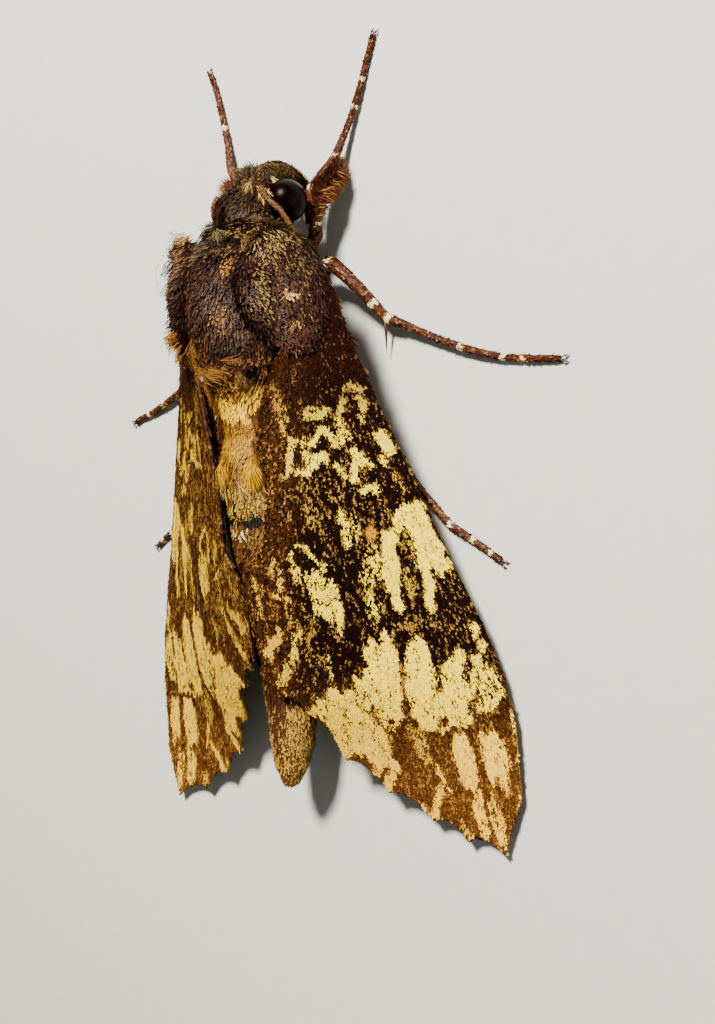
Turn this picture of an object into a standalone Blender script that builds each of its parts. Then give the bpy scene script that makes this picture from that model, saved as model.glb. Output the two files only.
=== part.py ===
"""Hawk moth Isognathus excelsior at rest, life size, with its wings laid roof-like over the body.

The model's own frame has +Y towards the head, +X to the moth's right and +Z up from the floor.
Sizes below are in millimetres. MM turns them into metres when a mesh is made. The last step of
main() moves the whole moth so that the origin is at the bottom centre of its bounding box.
"""

import math
import random

import bmesh
import bpy
import numpy as np
from mathutils import Matrix, Vector

MM = 0.001
GAP = 0.3
SEED = 11
MERGE_DISTANCE = 0.0005

# Body: each station is (y, x, z, half width, half height) of an upright oval ring
HEAD_STATIONS = [
    (21.45, 0.0, 5.5, 2.3, 2.2),
    (22.4, 0.0, 5.4, 2.8, 2.5),
    (23.6, 0.0, 5.25, 2.9, 2.5),
    (24.6, 0.0, 5.05, 2.4, 2.15),
    (25.4, 0.0, 4.9, 1.5, 1.5),
]
COLLAR_STATIONS = [
    (19.3, 0.0, 6.65, 4.3, 4.4),
    (20.2, 0.0, 6.4, 4.1, 4.1),
    (21.15, 0.0, 5.9, 3.0, 3.1),
]
THORAX_STATIONS = [
    (6.9, 0.0, 6.1, 3.2, 3.2),
    (8.2, 0.0, 6.2, 3.55, 3.45),
    (10.0, 0.0, 6.4, 3.95, 3.85),
    (13.0, 0.0, 6.85, 4.65, 4.7),
    (16.0, 0.0, 7.0, 4.95, 5.0),
    (18.0, 0.0, 6.9, 4.8, 4.8),
    (19.0, 0.0, 6.75, 4.35, 4.45),
]
ABDOMEN_STATIONS = [
    (6.6, 0.0, 6.0, 3.2, 3.2),
    (4.5, 0.0, 5.95, 3.85, 3.65),
    (0.0, 0.0, 5.8, 3.9, 3.7),
    (-5.0, 0.0, 5.4, 3.6, 3.3),
    (-10.0, 0.0, 4.95, 3.1, 2.7),
    (-13.0, -0.05, 4.7, 2.65, 2.2),
    (-16.0, -0.1, 4.55, 2.15, 1.85),
    (-19.0, -0.3, 4.45, 1.65, 1.5),
    (-21.0, -0.6, 4.4, 1.1, 1.05),
    (-22.3, -0.85, 4.35, 0.5, 0.5),
]
BODY_SIDES = 28
HEAD_RINGS = 9
COLLAR_RINGS = 5
THORAX_RINGS = 12
ABDOMEN_RINGS = 18

# Eyes, palps and proboscis, and the right feeler; the left eye and palp mirror the right ones
EYE_CENTRE = (2.6, 23.4, 5.2)
EYE_RADIUS = 1.6
PALP_PATH = [(1.4, 23.8, 1.95), (1.42, 25.0, 2.1), (1.3, 26.1, 3.4), (1.15, 26.35, 4.9), (1.05, 26.2, 6.2)]
PALP_RADII = [0.5, 0.62, 0.66, 0.62, 0.4]
PALP_STEPS = 10
COIL_CENTRE = (0.0, 25.2, 1.6)
COIL_TURNS = 1.4
COIL_OUTER = 0.95
COIL_PITCH = 0.55
COIL_RADIUS = 0.25
COIL_START = math.radians(100)
COIL_STEPS = 30
COIL_TIP_SHARE = 0.6
ANTENNA_PATH = [
    (2.1, 24.1, 7.5),
    (2.8, 23.3, 7.6),
    (3.6, 22.4, 7.2),
    (4.1, 21.3, 6.75),
    (4.7, 20.3, 6.4),
    (5.35, 19.0, 6.0),
    (5.9, 17.2, 5.4),
    (6.2, 14.5, 4.6),
    (6.4, 12.0, 4.0),
    (6.6, 10.2, 3.7),
]
# The left feeler dips behind the eye and lies lower along the body
LEFT_ANTENNA_PATH = [
    (-2.1, 24.1, 7.5),
    (-2.55, 23.4, 7.6),
    (-3.0, 22.4, 7.1),
    (-3.35, 21.7, 6.3),
    (-3.75, 21.1, 5.5),
    (-4.35, 20.3, 4.9),
    (-4.9, 19.2, 4.6),
    (-5.3, 17.6, 4.2),
    (-5.6, 14.6, 3.7),
    (-5.9, 11.8, 3.1),
]
ANTENNA_RADII = [0.38, 0.3, 0.32, 0.34, 0.35, 0.35, 0.34, 0.32, 0.28, 0.12]
ANTENNA_STEPS = 24
EYE_SEGMENTS = (16, 10)

# Roof of the folded wings: (y, height of the ridge line), (y, x of the edge), (y, height of the edge)
ROOF_RIDGE = [(20.0, 11.3), (9.0, 11.1), (3.0, 10.6), (-3.0, 10.3), (-9.0, 8.8), (-14.0, 7.4),
              (-18.0, 5.2), (-22.0, 3.4), (-28.0, 1.6)]
ROOF_EDGE_X = [(20.0, 6.5), (12.2, 8.7), (4.5, 11.4), (-3.6, 14.3), (-11.7, 17.35), (-18.4, 18.5),
               (-28.0, 18.9)]
ROOF_EDGE_Z = [(20.0, 7.3), (12.2, 6.0), (4.5, 4.5), (-3.6, 2.9), (-11.7, 1.6), (-18.4, 1.0), (-28.0, 0.75)]
ROOF_ROUNDNESS = 1.25

# Right forewing lines, root to margin, seen from above, in order from the costa to the inner margin.
# The number after each line's name is the share of its run where its ridge begins.
FOREWING_LINES = [
    ("costa", 0.0, [(7.1, 18.2), (8.7, 12.2), (11.4, 4.5), (14.3, -3.6), (16.1, -8.0)]),
    ("radius 1", 0.45, [(6.75, 17.4), (8.2, 12.0), (10.6, 4.8), (13.6, -3.6), (17.35, -11.7)]),
    ("radius 2 and 3", 0.45, [(6.6, 17.0), (8.0, 11.9), (10.2, 4.6), (13.3, -4.0), (18.2, -15.6)]),
    ("radius 4", 0.5, [(6.45, 16.6), (7.8, 11.7), (9.9, 4.3), (13.1, -5.0), (18.35, -21.4)]),
    ("radius 5", 0.0, [(6.3, 16.2), (7.55, 11.5), (9.6, 4.0), (12.7, -5.6), (16.75, -25.95)]),
    ("media 1", 0.42, [(6.15, 15.8), (7.2, 11.3), (9.1, 3.7), (12.1, -6.0), (13.9, -25.4)]),
    ("media 2", 0.42, [(6.0, 15.4), (6.7, 11.0), (8.2, 3.2), (10.4, -6.2), (11.1, -24.1)]),
    ("media 3", 0.42, [(5.85, 15.0), (6.2, 10.6), (7.2, 2.6), (8.9, -6.2), (7.6, -22.2)]),
    ("cubitus 1", 0.0, [(5.7, 14.6), (5.8, 10.2), (6.3, 2.2), (7.6, -5.6), (4.5, -19.7)]),
    ("cubitus 2", 0.4, [(5.6, 14.3), (5.3, 10.0), (5.4, 2.0), (5.6, -4.8), (2.8, -15.7)]),
    ("anal vein", 0.0, [(5.5, 14.0), (4.5, 9.6), (3.9, 2.2), (3.2, -3.6), (0.9, -14.3)]),
    ("inner margin", 0.0, [(5.45, 13.7), (3.5, 9.9), (2.55, 6.0), (2.7, 0.0), (1.9, -2.6), (0.5, -4.4),
                           (0.2, -9.0), (0.2, -13.4)]),
]
FOREWING_FIRST_TOOTH = 4
FOREWING_SCALLOP = 0.75
FOREWING_STATIONS = 11

# The hindwing lies hidden between the forewing and the floor
HINDWING_LINES = [
    ("costa", 0.0, [(6.0, 11.6), (8.0, 6.0), (10.6, -1.5), (12.9, -9.0), (13.7, -13.2)]),
    ("radius", 0.0, [(5.8, 11.2), (7.4, 5.6), (9.6, -2.0), (11.6, -9.5), (12.3, -15.4)]),
    ("media", 0.4, [(5.6, 10.8), (6.8, 5.2), (8.4, -2.2), (9.9, -9.5), (10.2, -16.6)]),
    ("cubitus", 0.0, [(5.4, 10.4), (6.0, 5.0), (7.0, -2.4), (7.9, -9.0), (7.8, -15.8)]),
    ("anal vein", 0.0, [(5.2, 10.0), (5.3, 4.6), (5.6, -2.2), (5.9, -8.0), (5.9, -13.6)]),
    ("inner margin", 0.0, [(5.1, 9.6), (4.7, 4.4), (4.6, -2.2), (4.6, -6.5), (4.7, -11.2)]),
]
HINDWING_FIRST_TOOTH = 1
HINDWING_SCALLOP = 0.35
HINDWING_STATIONS = 9
HINDWING_DROP = 1.25

WING_THICKNESS = 0.5
VEIN_RISE = 0.24
VEIN_RISE_UNDER = 0.12
VEIN_HALF_WIDTH = 0.42
VEIN_WIDEST_SHARE = 0.3
VEIN_START_STEEPNESS = 8.0
VEIN_FADE_TO_MARGIN = 0.45
MARGIN_BEAD_SHARE = 0.3
STATION_CROWDING = 0.9
SCALLOP_SHARPNESS = 6

# The left forewing mirrors the right one but lies a little differently: new ends of its lines
LEFT_FOREWING_ENDS = {
    "costa": [(11.7, 4.2), (14.8, -3.6), (16.3, -8.0)],
    "radius 1": [(17.5, -12.2)],
    "radius 2 and 3": [(18.3, -16.4)],
    "radius 4": [(18.6, -22.8)],
    "radius 5": [(17.6, -27.1)],
    "media 1": [(13.6, -25.7)],
    "media 2": [(10.5, -23.7)],
    "media 3": [(7.8, -21.2)],
    "cubitus 1": [(5.3, -17.6)],
    "cubitus 2": [(3.0, -13.9)],
    "anal vein": [(1.5, -12.2)],
    "inner margin": [(1.6, 0.0), (1.5, -2.6), (0.35, -4.6), (0.3, -8.4), (0.7, -11.3)],
}

TEGULA_CENTRE = (4.9, 16.6)
TEGULA_HALF_LENGTH = 4.4
TEGULA_HALF_WIDTH = 2.2
TEGULA_TURN = math.radians(8)
TEGULA_THICKNESS = 1.1
TEGULA_CLEARANCE = 0.15
TEGULA_RIM = 0.3
TEGULA_RIM_SHARPNESS = 0.95
TEGULA_FRINGE_SHARE = 0.78
TEGULA_RINGS = 4
TEGULA_SPOKES = 16

# Legs: path from the body to the claws, with the radius at each point
LEG_PATHS = {
    "leg_fore_right": [
        ((2.15, 20.1, 2.55), 0.55), ((2.75, 20.9, 2.2), 0.6), ((2.95, 22.6, 2.6), 0.62),
        ((2.95, 24.3, 2.5), 0.5), ((3.5, 25.5, 1.9), 0.44), ((4.3, 26.7, 1.35), 0.38),
        ((5.0, 28.4, 0.85), 0.27), ((5.75, 30.2, 0.5), 0.28), ((6.5, 32.1, 0.36), 0.26),
        ((7.1, 33.8, 0.24), 0.26), ((7.7, 35.3, 0.22), 0.25),
    ],
    "leg_fore_left": [
        ((-2.15, 20.1, 2.55), 0.55), ((-2.95, 21.0, 2.2), 0.6), ((-3.5, 22.8, 2.3), 0.62),
        ((-4.4, 24.6, 1.9), 0.5), ((-5.6, 26.4, 1.4), 0.44), ((-6.7, 28.0, 0.95), 0.36),
        ((-7.1, 29.4, 0.65), 0.27), ((-7.5, 31.0, 0.45), 0.28), ((-8.0, 33.0, 0.34), 0.26),
        ((-8.5, 34.7, 0.24), 0.26), ((-9.0, 36.0, 0.22), 0.25),
    ],
    "leg_mid_right": [
        ((2.3, 16.6, 2.15), 0.55), ((3.1, 18.2, 1.9), 0.6), ((4.4, 18.7, 2.7), 0.6),
        ((6.4, 17.1, 2.4), 0.52), ((7.5, 15.7, 1.8), 0.45), ((8.4, 14.5, 1.25), 0.42),
        ((10.0, 13.7, 0.9), 0.29), ((12.6, 12.5, 0.62), 0.28), ((14.9, 11.6, 0.48), 0.3),
        ((17.9, 10.8, 0.34), 0.27), ((19.9, 10.55, 0.24), 0.26), ((22.3, 10.4, 0.22), 0.25),
    ],
    "leg_mid_left": [
        ((-2.3, 16.6, 2.15), 0.55), ((-3.1, 18.0, 1.9), 0.6), ((-4.6, 17.9, 2.4), 0.6),
        ((-6.6, 16.0, 2.2), 0.52), ((-8.2, 14.2, 1.7), 0.45), ((-9.6, 12.7, 1.3), 0.42),
        ((-11.6, 11.4, 0.95), 0.29), ((-14.6, 9.9, 0.62), 0.28), ((-16.5, 9.0, 0.46), 0.3),
        ((-18.6, 8.2, 0.3), 0.27), ((-19.9, 7.8, 0.24), 0.26), ((-20.8, 7.45, 0.22), 0.25),
    ],
    "leg_hind_right": [
        ((2.0, 11.6, 1.9), 0.55), ((3.2, 11.2, 1.35), 0.6), ((5.2, 9.6, 1.8), 0.6),
        ((7.0, 7.6, 2.0), 0.5), ((8.4, 5.0, 1.5), 0.45), ((9.6, 2.8, 1.1), 0.42),
        ((10.6, 1.3, 0.85), 0.29), ((11.6, 0.2, 0.65), 0.28), ((12.7, -1.1, 0.5), 0.3),
        ((14.5, -2.3, 0.34), 0.27), ((15.9, -3.2, 0.24), 0.26), ((17.0, -3.95, 0.22), 0.25),
    ],
    "leg_hind_left": [
        ((-2.0, 11.6, 1.9), 0.55), ((-3.2, 11.2, 1.35), 0.6), ((-5.2, 9.6, 1.8), 0.6),
        ((-7.4, 7.2, 2.0), 0.5), ((-9.2, 4.4, 1.5), 0.45), ((-10.8, 2.2, 1.1), 0.42),
        ((-12.2, 0.9, 0.85), 0.29), ((-13.6, -0.2, 0.65), 0.28), ((-15.0, -1.3, 0.5), 0.3),
        ((-16.6, -2.4, 0.34), 0.27), ((-17.9, -3.2, 0.24), 0.26), ((-18.9, -3.9, 0.22), 0.25),
    ],
}
# Spurs at the end of the shin: (point of the path they grow from, tip)
LEG_SPURS = {
    "leg_mid_right": [(5, (7.9, 11.7, 0.55)), (5, (9.5, 13.0, 0.45))],
    "leg_mid_left": [(5, (-8.6, 10.2, 0.75)), (5, (-10.6, 11.2, 0.45))],
    "leg_hind_right": [(5, (9.0, 0.2, 0.6)), (5, (10.9, 0.6, 0.35)), (4, (7.5, 2.9, 0.9))],
    "leg_hind_left": [(5, (-10.6, -0.6, 0.6)), (5, (-12.3, 0.2, 0.35)), (4, (-8.4, 2.4, 0.9))],
}
SPUR_RADIUS = 0.26
CLAW_LENGTH = 0.75
CLAW_RADIUS = 0.15
CLAW_SPREAD = math.radians(32)
CLAW_ROOT_BACK = 0.2
CLAW_ROOT_RISE = 0.06

# Locks of hair: share of the length, share of the width, share of the thickness at each section
LOCK_SECTIONS = [(0.0, 0.85, 1.0), (0.35, 1.0, 1.0), (0.72, 0.66, 0.85)]
LOCK_THICKNESS = 0.55
LOCK_SINK = 0.3
TEGULA_LOCKS = 12
TEGULA_LOCK_SIZE = (2.1, 1.15)
TEGULA_LOCK_LENGTHS = (0.85, 1.15)
TEGULA_LOCK_LIFT = 0.25
TEGULA_FRINGE_START = 35
TEGULA_FRINGE_SWEEP = 175
TEGULA_LOCK_HEADING = -50
TEGULA_LOCK_TURN = -52
TEGULA_LOCK_SCATTER = 6
THORAX_LOCKS = 9
THORAX_LOCK_SIZE = (3.4, 0.95)
THORAX_LOCK_ROOT_Y = 8.9
THORAX_LOCK_SPREAD = 1.55
THORAX_LOCK_TAPER = 0.3
THORAX_LOCK_LENGTHS = (0.85, 1.0)
THORAX_LOCK_STAGGER = 0.3
THORAX_LOCK_FAN = 6
THORAX_LOCK_LIFT = 0.1
ABDOMEN_TIP_LOCKS = 8
ABDOMEN_TIP_ROOT_Y = -19.6
ABDOMEN_TIP_LOCK_SIZE = (2.8, 0.95)
ABDOMEN_TIP_STAGGER = 0.5
ABDOMEN_TIP_SINK = 0.25
ABDOMEN_TIP_WAY = (-0.22, -1.0, 0.0)
ABDOMEN_TIP_GATHER = 0.3
ABDOMEN_TIP_RISE = 0.1
ABDOMEN_SIDE_ROWS = [-3.5, -8.0, -12.5]
ABDOMEN_SIDE_ANGLES = [math.radians(angle) for angle in (98, 128)]
ABDOMEN_SIDE_LOCK_SIZE = (2.5, 1.2)
ABDOMEN_SIDE_SINK = 0.2
ABDOMEN_SIDE_RISE = 0.15
YELLOW_TUFTS = [(-1.15, 4.3), (1.0, 4.3)]
YELLOW_TUFT_SIZE = (2.3, 0.9)
YELLOW_TUFT_SINK = 0.15
YELLOW_TUFT_WAY = (0.0, -1.0, 0.04)
YELLOW_TUFT_RISE = 0.2
HEAD_LOCKS = 7
HEAD_LOCK_ROOT_Y = 23.9
HEAD_LOCK_SIZE = (1.7, 0.85)
HEAD_LOCK_SPREAD = math.radians(52)
HEAD_LOCK_SINK = 0.35
HEAD_LOCK_FAN = 0.25
HEAD_LOCK_DIPS = (-0.12, -0.02)
HEAD_LOCK_RISE = 0.25
BRUSH_LOCKS = 6
BRUSH_SPAN = (0.245, 0.43)
BRUSH_LOCK_SIZE = (1.7, 0.72)
BRUSH_LOCK_LEAN = 0.75
BRUSH_LOCK_WEAVE = 0.12
LEG_STEPS = 22
TUBE_SIDES = 2
SLIM_TUBE_SIDES = 1
FLOOR_FLAT = 0.0

COLOURS = {
    "body": ((0.10, 0.045, 0.02), 0.85),
    "wing": ((0.30, 0.19, 0.09), 0.8),
    "hindwing": ((0.62, 0.36, 0.04), 0.8),
    "eye": ((0.02, 0.006, 0.004), 0.2),
    "leg": ((0.14, 0.04, 0.015), 0.5),
}


def clear_scene():
    """Removes every object, so that the script gives the same result each run."""
    for old in list(bpy.data.objects):
        bpy.data.objects.remove(old, do_unlink=True)


def material(name):
    """Returns the Principled material of one kind of surface, made on first use."""
    found = bpy.data.materials.get(name)
    if found:
        return found
    colour, roughness = COLOURS[name]
    made = bpy.data.materials.new(name)
    made.use_nodes = True
    shader = made.node_tree.nodes["Principled BSDF"]
    shader.inputs["Base Color"].default_value = (*colour, 1.0)
    shader.inputs["Roughness"].default_value = roughness
    shader.inputs["Metallic"].default_value = 0.0
    return made


def smooth_through(keys, at):
    """Reads a smooth curve through sorted (position, value) keys at one or many positions."""
    keys = sorted(keys)
    place = np.array([key[0] for key in keys], dtype=float)
    value = np.array([key[1] for key in keys], dtype=float)
    slope = np.gradient(value, place)
    at = np.clip(np.asarray(at, dtype=float), place[0], place[-1])
    left = np.clip(np.searchsorted(place, at) - 1, 0, len(place) - 2)
    span = place[left + 1] - place[left]
    t = (at - place[left]) / span
    start = (1 + 2 * t) * (1 - t) ** 2 * value[left] + t * (1 - t) ** 2 * span * slope[left]
    end = t ** 2 * (3 - 2 * t) * value[left + 1] + t ** 2 * (t - 1) * span * slope[left + 1]
    return start + end


def along_path(points, shares):
    """Points of a smooth path through the given points, at shares 0 to 1 of its length."""
    points = np.array(points, dtype=float)
    step = np.linalg.norm(np.diff(points, axis=0), axis=1)
    run = np.concatenate([[0.0], np.cumsum(step)]) / step.sum()
    columns = [smooth_through(list(zip(run, points[:, axis])), shares) for axis in range(points.shape[1])]
    return np.stack(columns, axis=-1)


def roof_height(x, y):
    """Height of the folded wings' upper surface above the floor, without the veins."""
    ridge = smooth_through(ROOF_RIDGE, y)
    edge = smooth_through(ROOF_EDGE_Z, y)
    share = np.abs(x) / smooth_through(ROOF_EDGE_X, y)
    return ridge - (ridge - edge) * share ** ROOF_ROUNDNESS


def roof_normal(x, y):
    """Upward unit normal of the roof surface, from small steps along X and Y."""
    step = 0.05
    slope_x = (roof_height(x + step, y) - roof_height(x - step, y)) / (2 * step)
    slope_y = (roof_height(x, y + step) - roof_height(x, y - step)) / (2 * step)
    normal = np.stack([-slope_x, -slope_y, np.ones_like(slope_x)], axis=-1)
    return normal / np.linalg.norm(normal, axis=-1, keepdims=True)


def mesh_object(name, kind, points, faces):
    """Makes one object from points in millimetres and faces, with its normals pointing out."""
    mesh = bpy.data.meshes.new(name)
    mesh.from_pydata([tuple(float(c) * MM for c in point) for point in points], [], faces)
    work = bmesh.new()
    work.from_mesh(mesh)
    bmesh.ops.recalc_face_normals(work, faces=work.faces)
    work.to_mesh(mesh)
    work.free()
    mesh.materials.append(material(kind))
    mesh.shade_smooth()
    made = bpy.data.objects.new(name, mesh)
    bpy.context.scene.collection.objects.link(made)
    return made


def loft(rings):
    """Joins rings of equal size with quads and closes both ends with one flat face each."""
    count = len(rings[0])
    points = [point for ring in rings for point in ring]
    faces = []
    for ring in range(len(rings) - 1):
        for side in range(count):
            following = (side + 1) % count
            lower = ring * count
            upper = lower + count
            faces.append((lower + side, lower + following, upper + following, upper + side))
    faces.append(tuple(range(count))[::-1])
    faces.append(tuple(range(len(points) - count, len(points))))
    return points, faces


def body_ring(stations, y):
    """Centre x, centre z, half width and half height of a body part at one y."""
    return [float(smooth_through([(row[0], row[column]) for row in stations], y)) for column in (1, 2, 3, 4)]


def body_part(name, kind, stations, count):
    """Lofts upright oval rings, close together where the part narrows to its ends."""
    first, last = stations[0][0], stations[-1][0]
    rings = []
    for step in range(count + 1):
        share = (1 - math.cos(math.pi * step / count)) / 2
        y = first + (last - first) * share
        x, z, width, height = body_ring(stations, y)
        angles = [math.tau * side / BODY_SIDES for side in range(BODY_SIDES)]
        rings.append([(x + width * math.sin(a), y, z + height * math.cos(a)) for a in angles])
    return mesh_object(name, kind, *loft(rings))


def tube(name, kind, path, radii, steps, sides_level=TUBE_SIDES):
    """A round tube of changing thickness along a smooth path, from a bevelled curve with caps."""
    shares = np.linspace(0, 1, steps)
    points = along_path(path, shares) * MM
    lengths = np.linalg.norm(np.diff(np.array(path), axis=0), axis=1)
    spacing = np.concatenate([[0.0], np.cumsum(lengths)]) / lengths.sum()
    thickness = np.interp(shares, spacing, radii)
    curve = bpy.data.curves.new(name, "CURVE")
    curve.dimensions = "3D"
    curve.bevel_depth = MM
    curve.bevel_resolution = sides_level
    curve.use_fill_caps = True
    line = curve.splines.new("POLY")
    line.points.add(steps - 1)
    for point, place, radius in zip(line.points, points, thickness):
        point.co = (*place, 1.0)
        point.radius = radius
    guide = bpy.data.objects.new(name, curve)
    bpy.context.scene.collection.objects.link(guide)
    mesh = bpy.data.meshes.new_from_object(guide.evaluated_get(bpy.context.evaluated_depsgraph_get()))
    bpy.data.objects.remove(guide)
    made = bpy.data.objects.new(name, mesh)
    bpy.context.scene.collection.objects.link(made)
    weld(made)
    mesh.materials.clear()
    mesh.materials.append(material(kind))
    mesh.shade_smooth()
    return made


def weld(made):
    """Merges points that lie on one another and turns the faces out."""
    work = bmesh.new()
    work.from_mesh(made.data)
    bmesh.ops.remove_doubles(work, verts=work.verts, dist=MERGE_DISTANCE * MM)
    bmesh.ops.recalc_face_normals(work, faces=work.faces)
    work.to_mesh(made.data)
    work.free()


def mirrored(made, name):
    """A copy of a right-hand piece for the left side, with its own mesh."""
    mesh = made.data.copy()
    mesh.transform(Matrix.Scale(-1, 4, (1, 0, 0)))
    mesh.flip_normals()
    copy = bpy.data.objects.new(name, mesh)
    bpy.context.scene.collection.objects.link(copy)
    return copy


def keep_largest_shell(made):
    """Keeps the closed surface with the most faces, which drops scraps and sealed hollows."""
    work = bmesh.new()
    work.from_mesh(made.data)
    unseen = set(work.faces)
    shells = []
    while unseen:
        queue = [unseen.pop()]
        shell = list(queue)
        while queue:
            for edge in queue.pop().edges:
                for face in edge.link_faces:
                    if face in unseen:
                        unseen.remove(face)
                        queue.append(face)
                        shell.append(face)
        shells.append(shell)
    shells.sort(key=len)
    for shell in shells[:-1]:
        bmesh.ops.delete(work, geom=shell, context="FACES")
    work.to_mesh(made.data)
    work.free()


def combine(made, pieces, operation):
    """Unites the pieces with a node, or cuts them out of it, in one Boolean on a collection."""
    group = bpy.data.collections.new(made.name + " pieces")
    bpy.context.scene.collection.children.link(group)
    for piece in pieces:
        bpy.context.scene.collection.objects.unlink(piece)
        group.objects.link(piece)
    step = made.modifiers.new("pieces", "BOOLEAN")
    step.operation = operation
    step.operand_type = "COLLECTION"
    step.collection = group
    step.solver = "EXACT"
    evaluated = made.evaluated_get(bpy.context.evaluated_depsgraph_get())
    result = bpy.data.meshes.new_from_object(evaluated)
    made.modifiers.clear()
    made.data = result
    for piece in pieces:
        bpy.data.objects.remove(piece)
    bpy.data.collections.remove(group)
    weld(made)
    keep_largest_shell(made)
    made.data.materials.clear()
    made.data.materials.append(material(made["kind"]))
    made.data.shade_smooth()
    return made


def ball(name, centre, radius, around, down):
    """A round ball."""
    mesh = bpy.data.meshes.new(name)
    work = bmesh.new()
    bmesh.ops.create_uvsphere(work, u_segments=around, v_segments=down, radius=radius * MM)
    bmesh.ops.translate(work, verts=work.verts, vec=Vector(centre) * MM)
    work.to_mesh(mesh)
    work.free()
    mesh.materials.append(material("eye"))
    mesh.shade_smooth()
    made = bpy.data.objects.new(name, mesh)
    bpy.context.scene.collection.objects.link(made)
    return made


def spike(base, tip, radius, sides=5):
    """A slim cone from a base point to a tip, for a spur or a claw."""
    base = Vector(base)
    tip = Vector(tip)
    axis = (tip - base).normalized()
    across = axis.orthogonal().normalized()
    other = axis.cross(across)
    angles = [math.tau * side / sides for side in range(sides)]
    points = [base + (across * math.cos(a) + other * math.sin(a)) * radius for a in angles]
    points.append(tip)
    faces = [(side, (side + 1) % sides, sides) for side in range(sides)]
    faces.append(tuple(range(sides))[::-1])
    return mesh_object("spike", "leg", points, faces)


def lock_faces(sections):
    """Faces of a lock whose sections of four points each end in one tip point."""
    faces = [(0, 1, 2, 3)]
    for section in range(sections - 1):
        for side in range(4):
            a = section * 4 + side
            b = section * 4 + (side + 1) % 4
            faces.append((a, b, b + 4, a + 4))
    last = (sections - 1) * 4
    faces += [(last + side, last + (side + 1) % 4, last + 4) for side in range(4)]
    return faces


def bent_lock(root, along, out, size, rise):
    """A flat tapered lock that leaves its root along the lie and bends away by rise at its tip."""
    length, width = size
    along = Vector(along).normalized()
    out = (Vector(out) - along * Vector(out).dot(along)).normalized()
    across = along.cross(out)
    root = Vector(root)
    points = []
    for share, wide, thick in LOCK_SECTIONS:
        middle = root + along * (length * share) + out * (rise * share * share)
        points.append(middle - across * (width * wide / 2))
        points.append(middle + out * (LOCK_THICKNESS * thick / 2))
        points.append(middle + across * (width * wide / 2))
        points.append(middle - out * (LOCK_THICKNESS * thick / 2))
    points.append(root + along * length + out * rise)
    return mesh_object("lock", "body", points, lock_faces(len(LOCK_SECTIONS)))


def lying_lock(start, heading, size, rest, lift):
    """A lock that lies on a surface given by rest(x, y), just clear of it, and lifts to its tip."""
    length, width = size
    ahead = np.array([math.cos(heading), math.sin(heading)])
    beside = np.array([-ahead[1], ahead[0]])
    points = []
    for share, wide, thick in LOCK_SECTIONS:
        x, y = np.array(start) + ahead * length * share
        half = LOCK_THICKNESS * thick / 2
        low = max(rest(x, y), rest(x + beside[0] * width / 2, y + beside[1] * width / 2),
                  rest(x - beside[0] * width / 2, y - beside[1] * width / 2))
        z = low + half + lift * share
        if share == 0.0:
            z -= LOCK_SINK
        points.append((x - beside[0] * width * wide / 2, y - beside[1] * width * wide / 2, z))
        points.append((x, y, z + half))
        points.append((x + beside[0] * width * wide / 2, y + beside[1] * width * wide / 2, z))
        points.append((x, y, z - half))
    x, y = np.array(start) + ahead * length
    points.append((x, y, rest(x, y) + LOCK_THICKNESS / 2 + lift))
    return mesh_object("lock", "body", points, lock_faces(len(LOCK_SECTIONS)))


def head_locks():
    """The tufts on the brow, between the feelers, pointing forwards."""
    pieces = []
    for index in range(HEAD_LOCKS):
        share = 2 * index / (HEAD_LOCKS - 1) - 1
        angle = share * HEAD_LOCK_SPREAD
        x, z, width, height = body_ring(HEAD_STATIONS, HEAD_LOCK_ROOT_Y)
        out = Vector((math.sin(angle), 0.0, math.cos(angle)))
        root = Vector((x + (width - HEAD_LOCK_SINK) * out.x, HEAD_LOCK_ROOT_Y,
                       z + (height - HEAD_LOCK_SINK) * out.z))
        along = Vector((out.x * HEAD_LOCK_FAN, 1.0, HEAD_LOCK_DIPS[index % 2]))
        pieces.append(bent_lock(root, along, out, HEAD_LOCK_SIZE, HEAD_LOCK_RISE))
    return pieces


def head_parts():
    """The head with sockets for the two eyes, the eyes, the palps, the coiled proboscis, the feelers."""
    head = body_part("head", "body", HEAD_STATIONS, HEAD_RINGS)
    head["kind"] = "body"
    sockets = []
    for side in (1, -1):
        centre = (side * EYE_CENTRE[0], EYE_CENTRE[1], EYE_CENTRE[2])
        sockets.append(ball("socket", centre, EYE_RADIUS + GAP, *EYE_SEGMENTS))
    combine(head, head_locks(), "UNION")
    combine(head, sockets, "DIFFERENCE")
    eye = ball("eye_right", EYE_CENTRE, EYE_RADIUS, *EYE_SEGMENTS)
    mirrored(eye, "eye_left")
    palp = tube("palp_right", "body", PALP_PATH, PALP_RADII, PALP_STEPS)
    mirrored(palp, "palp_left")
    tube("antenna_right", "body", ANTENNA_PATH, ANTENNA_RADII, ANTENNA_STEPS, SLIM_TUBE_SIDES)
    tube("antenna_left", "body", LEFT_ANTENNA_PATH, ANTENNA_RADII, ANTENNA_STEPS, SLIM_TUBE_SIDES)
    proboscis()


def proboscis():
    """The proboscis, coiled like a watch spring between the palps, under the head."""
    path = []
    for step in range(COIL_STEPS):
        share = step / (COIL_STEPS - 1)
        angle = math.tau * COIL_TURNS * share + COIL_START
        radius = COIL_OUTER - COIL_PITCH * COIL_TURNS * share
        path.append((COIL_CENTRE[0], COIL_CENTRE[1] + radius * math.cos(angle),
                     COIL_CENTRE[2] + radius * math.sin(angle)))
    radii = [COIL_RADIUS] * (COIL_STEPS - 1) + [COIL_RADIUS * COIL_TIP_SHARE]
    tube("proboscis", "leg", path, radii, COIL_STEPS, SLIM_TUBE_SIDES)


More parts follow.
